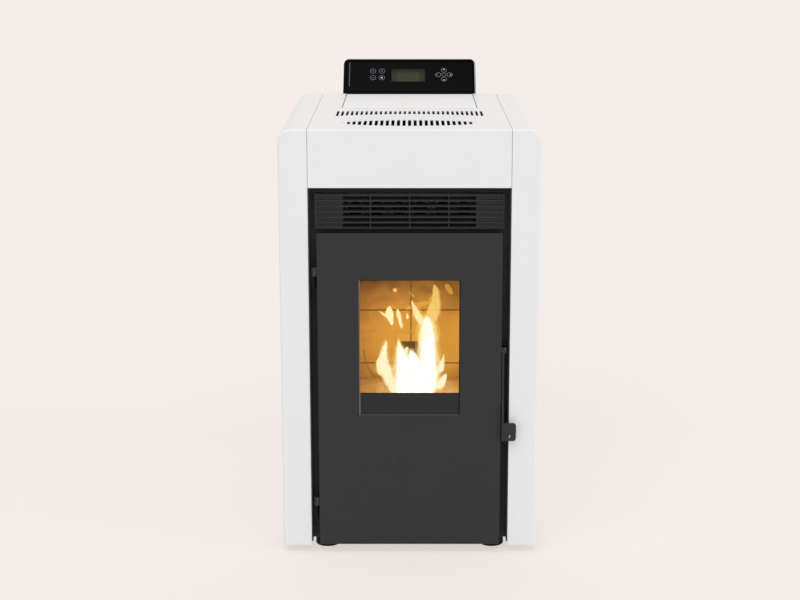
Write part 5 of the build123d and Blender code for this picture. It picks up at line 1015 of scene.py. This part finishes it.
# plate round the chute's mouth: a lintel with a leg on each side
mouthPlan = {"halfWidth": 0.0279, "holeHalf": 0.018, "low": 0.3365, "holeTop": 0.365, "high": 0.3838,
    "face": 0.2001, "thickness": 0.004, "round": 0.0005, "joint": (0.0018, 0.0036)}
mouthY = frontY + mouthPlan["face"] + mouthPlan["thickness"] / 2
mouthPlate = flatSheet((-mouthPlan["halfWidth"], mouthY, mouthPlan["holeTop"]),
    (mouthPlan["halfWidth"], mouthY, mouthPlan["high"]))
setMode("EDIT")
for cutX in (-mouthPlan["holeHalf"], *mouthPlan["joint"], mouthPlan["holeHalf"]):
    bpy.ops.mesh.select_all(action="SELECT")
    bpy.ops.mesh.bisect(plane_co=(cutX, 0, 0), plane_no=(1, 0, 0))
# the bricks' upright joint runs on down to the mouth
choose(mouthPlate, "FACE", lambda face: mouthPlan["joint"][0] < face.center.x < mouthPlan["joint"][1])
bpy.ops.mesh.delete(type="FACE")
setMode("OBJECT")


def isLegFoot(edge):
    ends = [mouthPlate.data.vertices[index].co for index in edge.vertices]
    low = all(abs(end.z - mouthPlan["holeTop"]) < 0.0001 for end in ends)
    return low and abs(ends[0].x + ends[1].x) / 2 > mouthPlan["holeHalf"]


choose(mouthPlate, "EDGE", isLegFoot)
extrudeBy(0, 0, mouthPlan["low"] - mouthPlan["holeTop"])
setMode("OBJECT")
fixNormals(mouthPlate)
modify(mouthPlate, SOLIDIFY={"thickness": mouthPlan["thickness"], "offset": 0},
    BEVEL={"width": mouthPlan["round"]})
finishPiece(mouthPlate, "chute_mouth_plate", "stove_body", "fireBrick")
print("chute mouth set")

# floor, lights and camera
studio = {"cream": (0.913, 0.847, 0.807), "floorSeen": (0.262, 0.243, 0.232),
    "floorGlow": (0.64, 0.594, 0.566), "floorLight": (0.8, 0.8, 0.8), "floorCorner": Vector((40, 40, 0)),
    "worldLight": 0.73, "fire": 0.55, "firePlace": (0.02, frontY + 0.1, 0.36),
    "fireTone": (1, 0.45, 0.12), "fireSoft": 0.03}
# each sun: strength, width in degrees, then its turns in degrees
suns = {"keySun": (0.9, 50, 30, -22), "fillSun": (0.2, 60, 60, 40), "sideSun": (0.55, 12, 78, 72)}


def seenRays(tree):
    # one for what is seen, straight, mirrored or through glass, none for plain light
    rays = putNode(tree, "LightPath").outputs
    return largestOf(tree, rays["Is Camera Ray"], rays["Is Glossy Ray"], rays["Is Transmission Ray"])


floor = flatSheet(-studio["floorCorner"], studio["floorCorner"], 0)
floor.name = "floor"
tree = startMaterial("floorCream")
speckle = noiseAt(tree, objectPlace(tree), 300)
floorSeen = mixColours(tree, speckle, studio["floorSeen"], dimmed(studio["floorSeen"], 0.985))
seen = seenRays(tree)
setShader(tree, 0, {"Base Color": mixColours(tree, seen, studio["floorLight"], floorSeen),
    "Roughness": 0.9, **glowing(mixColours(tree, seen, (0, 0, 0), studio["floorGlow"]))})
floor.data.materials.append(finish["floorCream"])

world = bpy.data.worlds.new("studioWorld")
scene.world = world
world.use_nodes = True
tree = world.node_tree
tree.nodes.clear()
lightGround = putNode(tree, "Background", {"Color": (1, 1, 1), "Strength": studio["worldLight"]})
seenGround = putNode(tree, "Background", {"Color": studio["cream"], "Strength": 1})
worldMix = putNode(tree, "MixShader", {0: seenRays(tree), 1: lightGround.outputs[0],
    2: seenGround.outputs[0]})
putNode(tree, "OutputWorld", {"Surface": worldMix.outputs[0]})

for name, (strength, width, tilt, turn) in suns.items():
    clearSelection()
    bpy.ops.object.light_add(type="SUN", location=(0, 0, 3), rotation=(radians(tilt), 0, radians(turn)))
    sun = bpy.context.object
    sun.name = name
    sun.data.energy = strength
    sun.data.angle = radians(width)

clearSelection()
bpy.ops.object.light_add(type="POINT", location=studio["firePlace"])
fireLamp = bpy.context.object
fireLamp.name = "fireLamp"
fireLamp.data.energy = studio["fire"]
fireLamp.data.color = studio["fireTone"]
fireLamp.data.shadow_soft_size = studio["fireSoft"]

view = {"distance": 3.087264, "height": 1.19979, "tilt": 12.865, "lens": 77.04, "shiftX": -0.012}
clearSelection()
bpy.ops.object.camera_add(location=(0, frontY - view["distance"], view["height"]),
    rotation=(radians(90 - view["tilt"]), 0, 0))
camera = bpy.context.object
camera.data.lens = view["lens"]
camera.data.sensor_width = 36
camera.data.shift_x = view["shiftX"]
scene.camera = camera
scene.view_settings.view_transform = "Standard"
print("studio set")
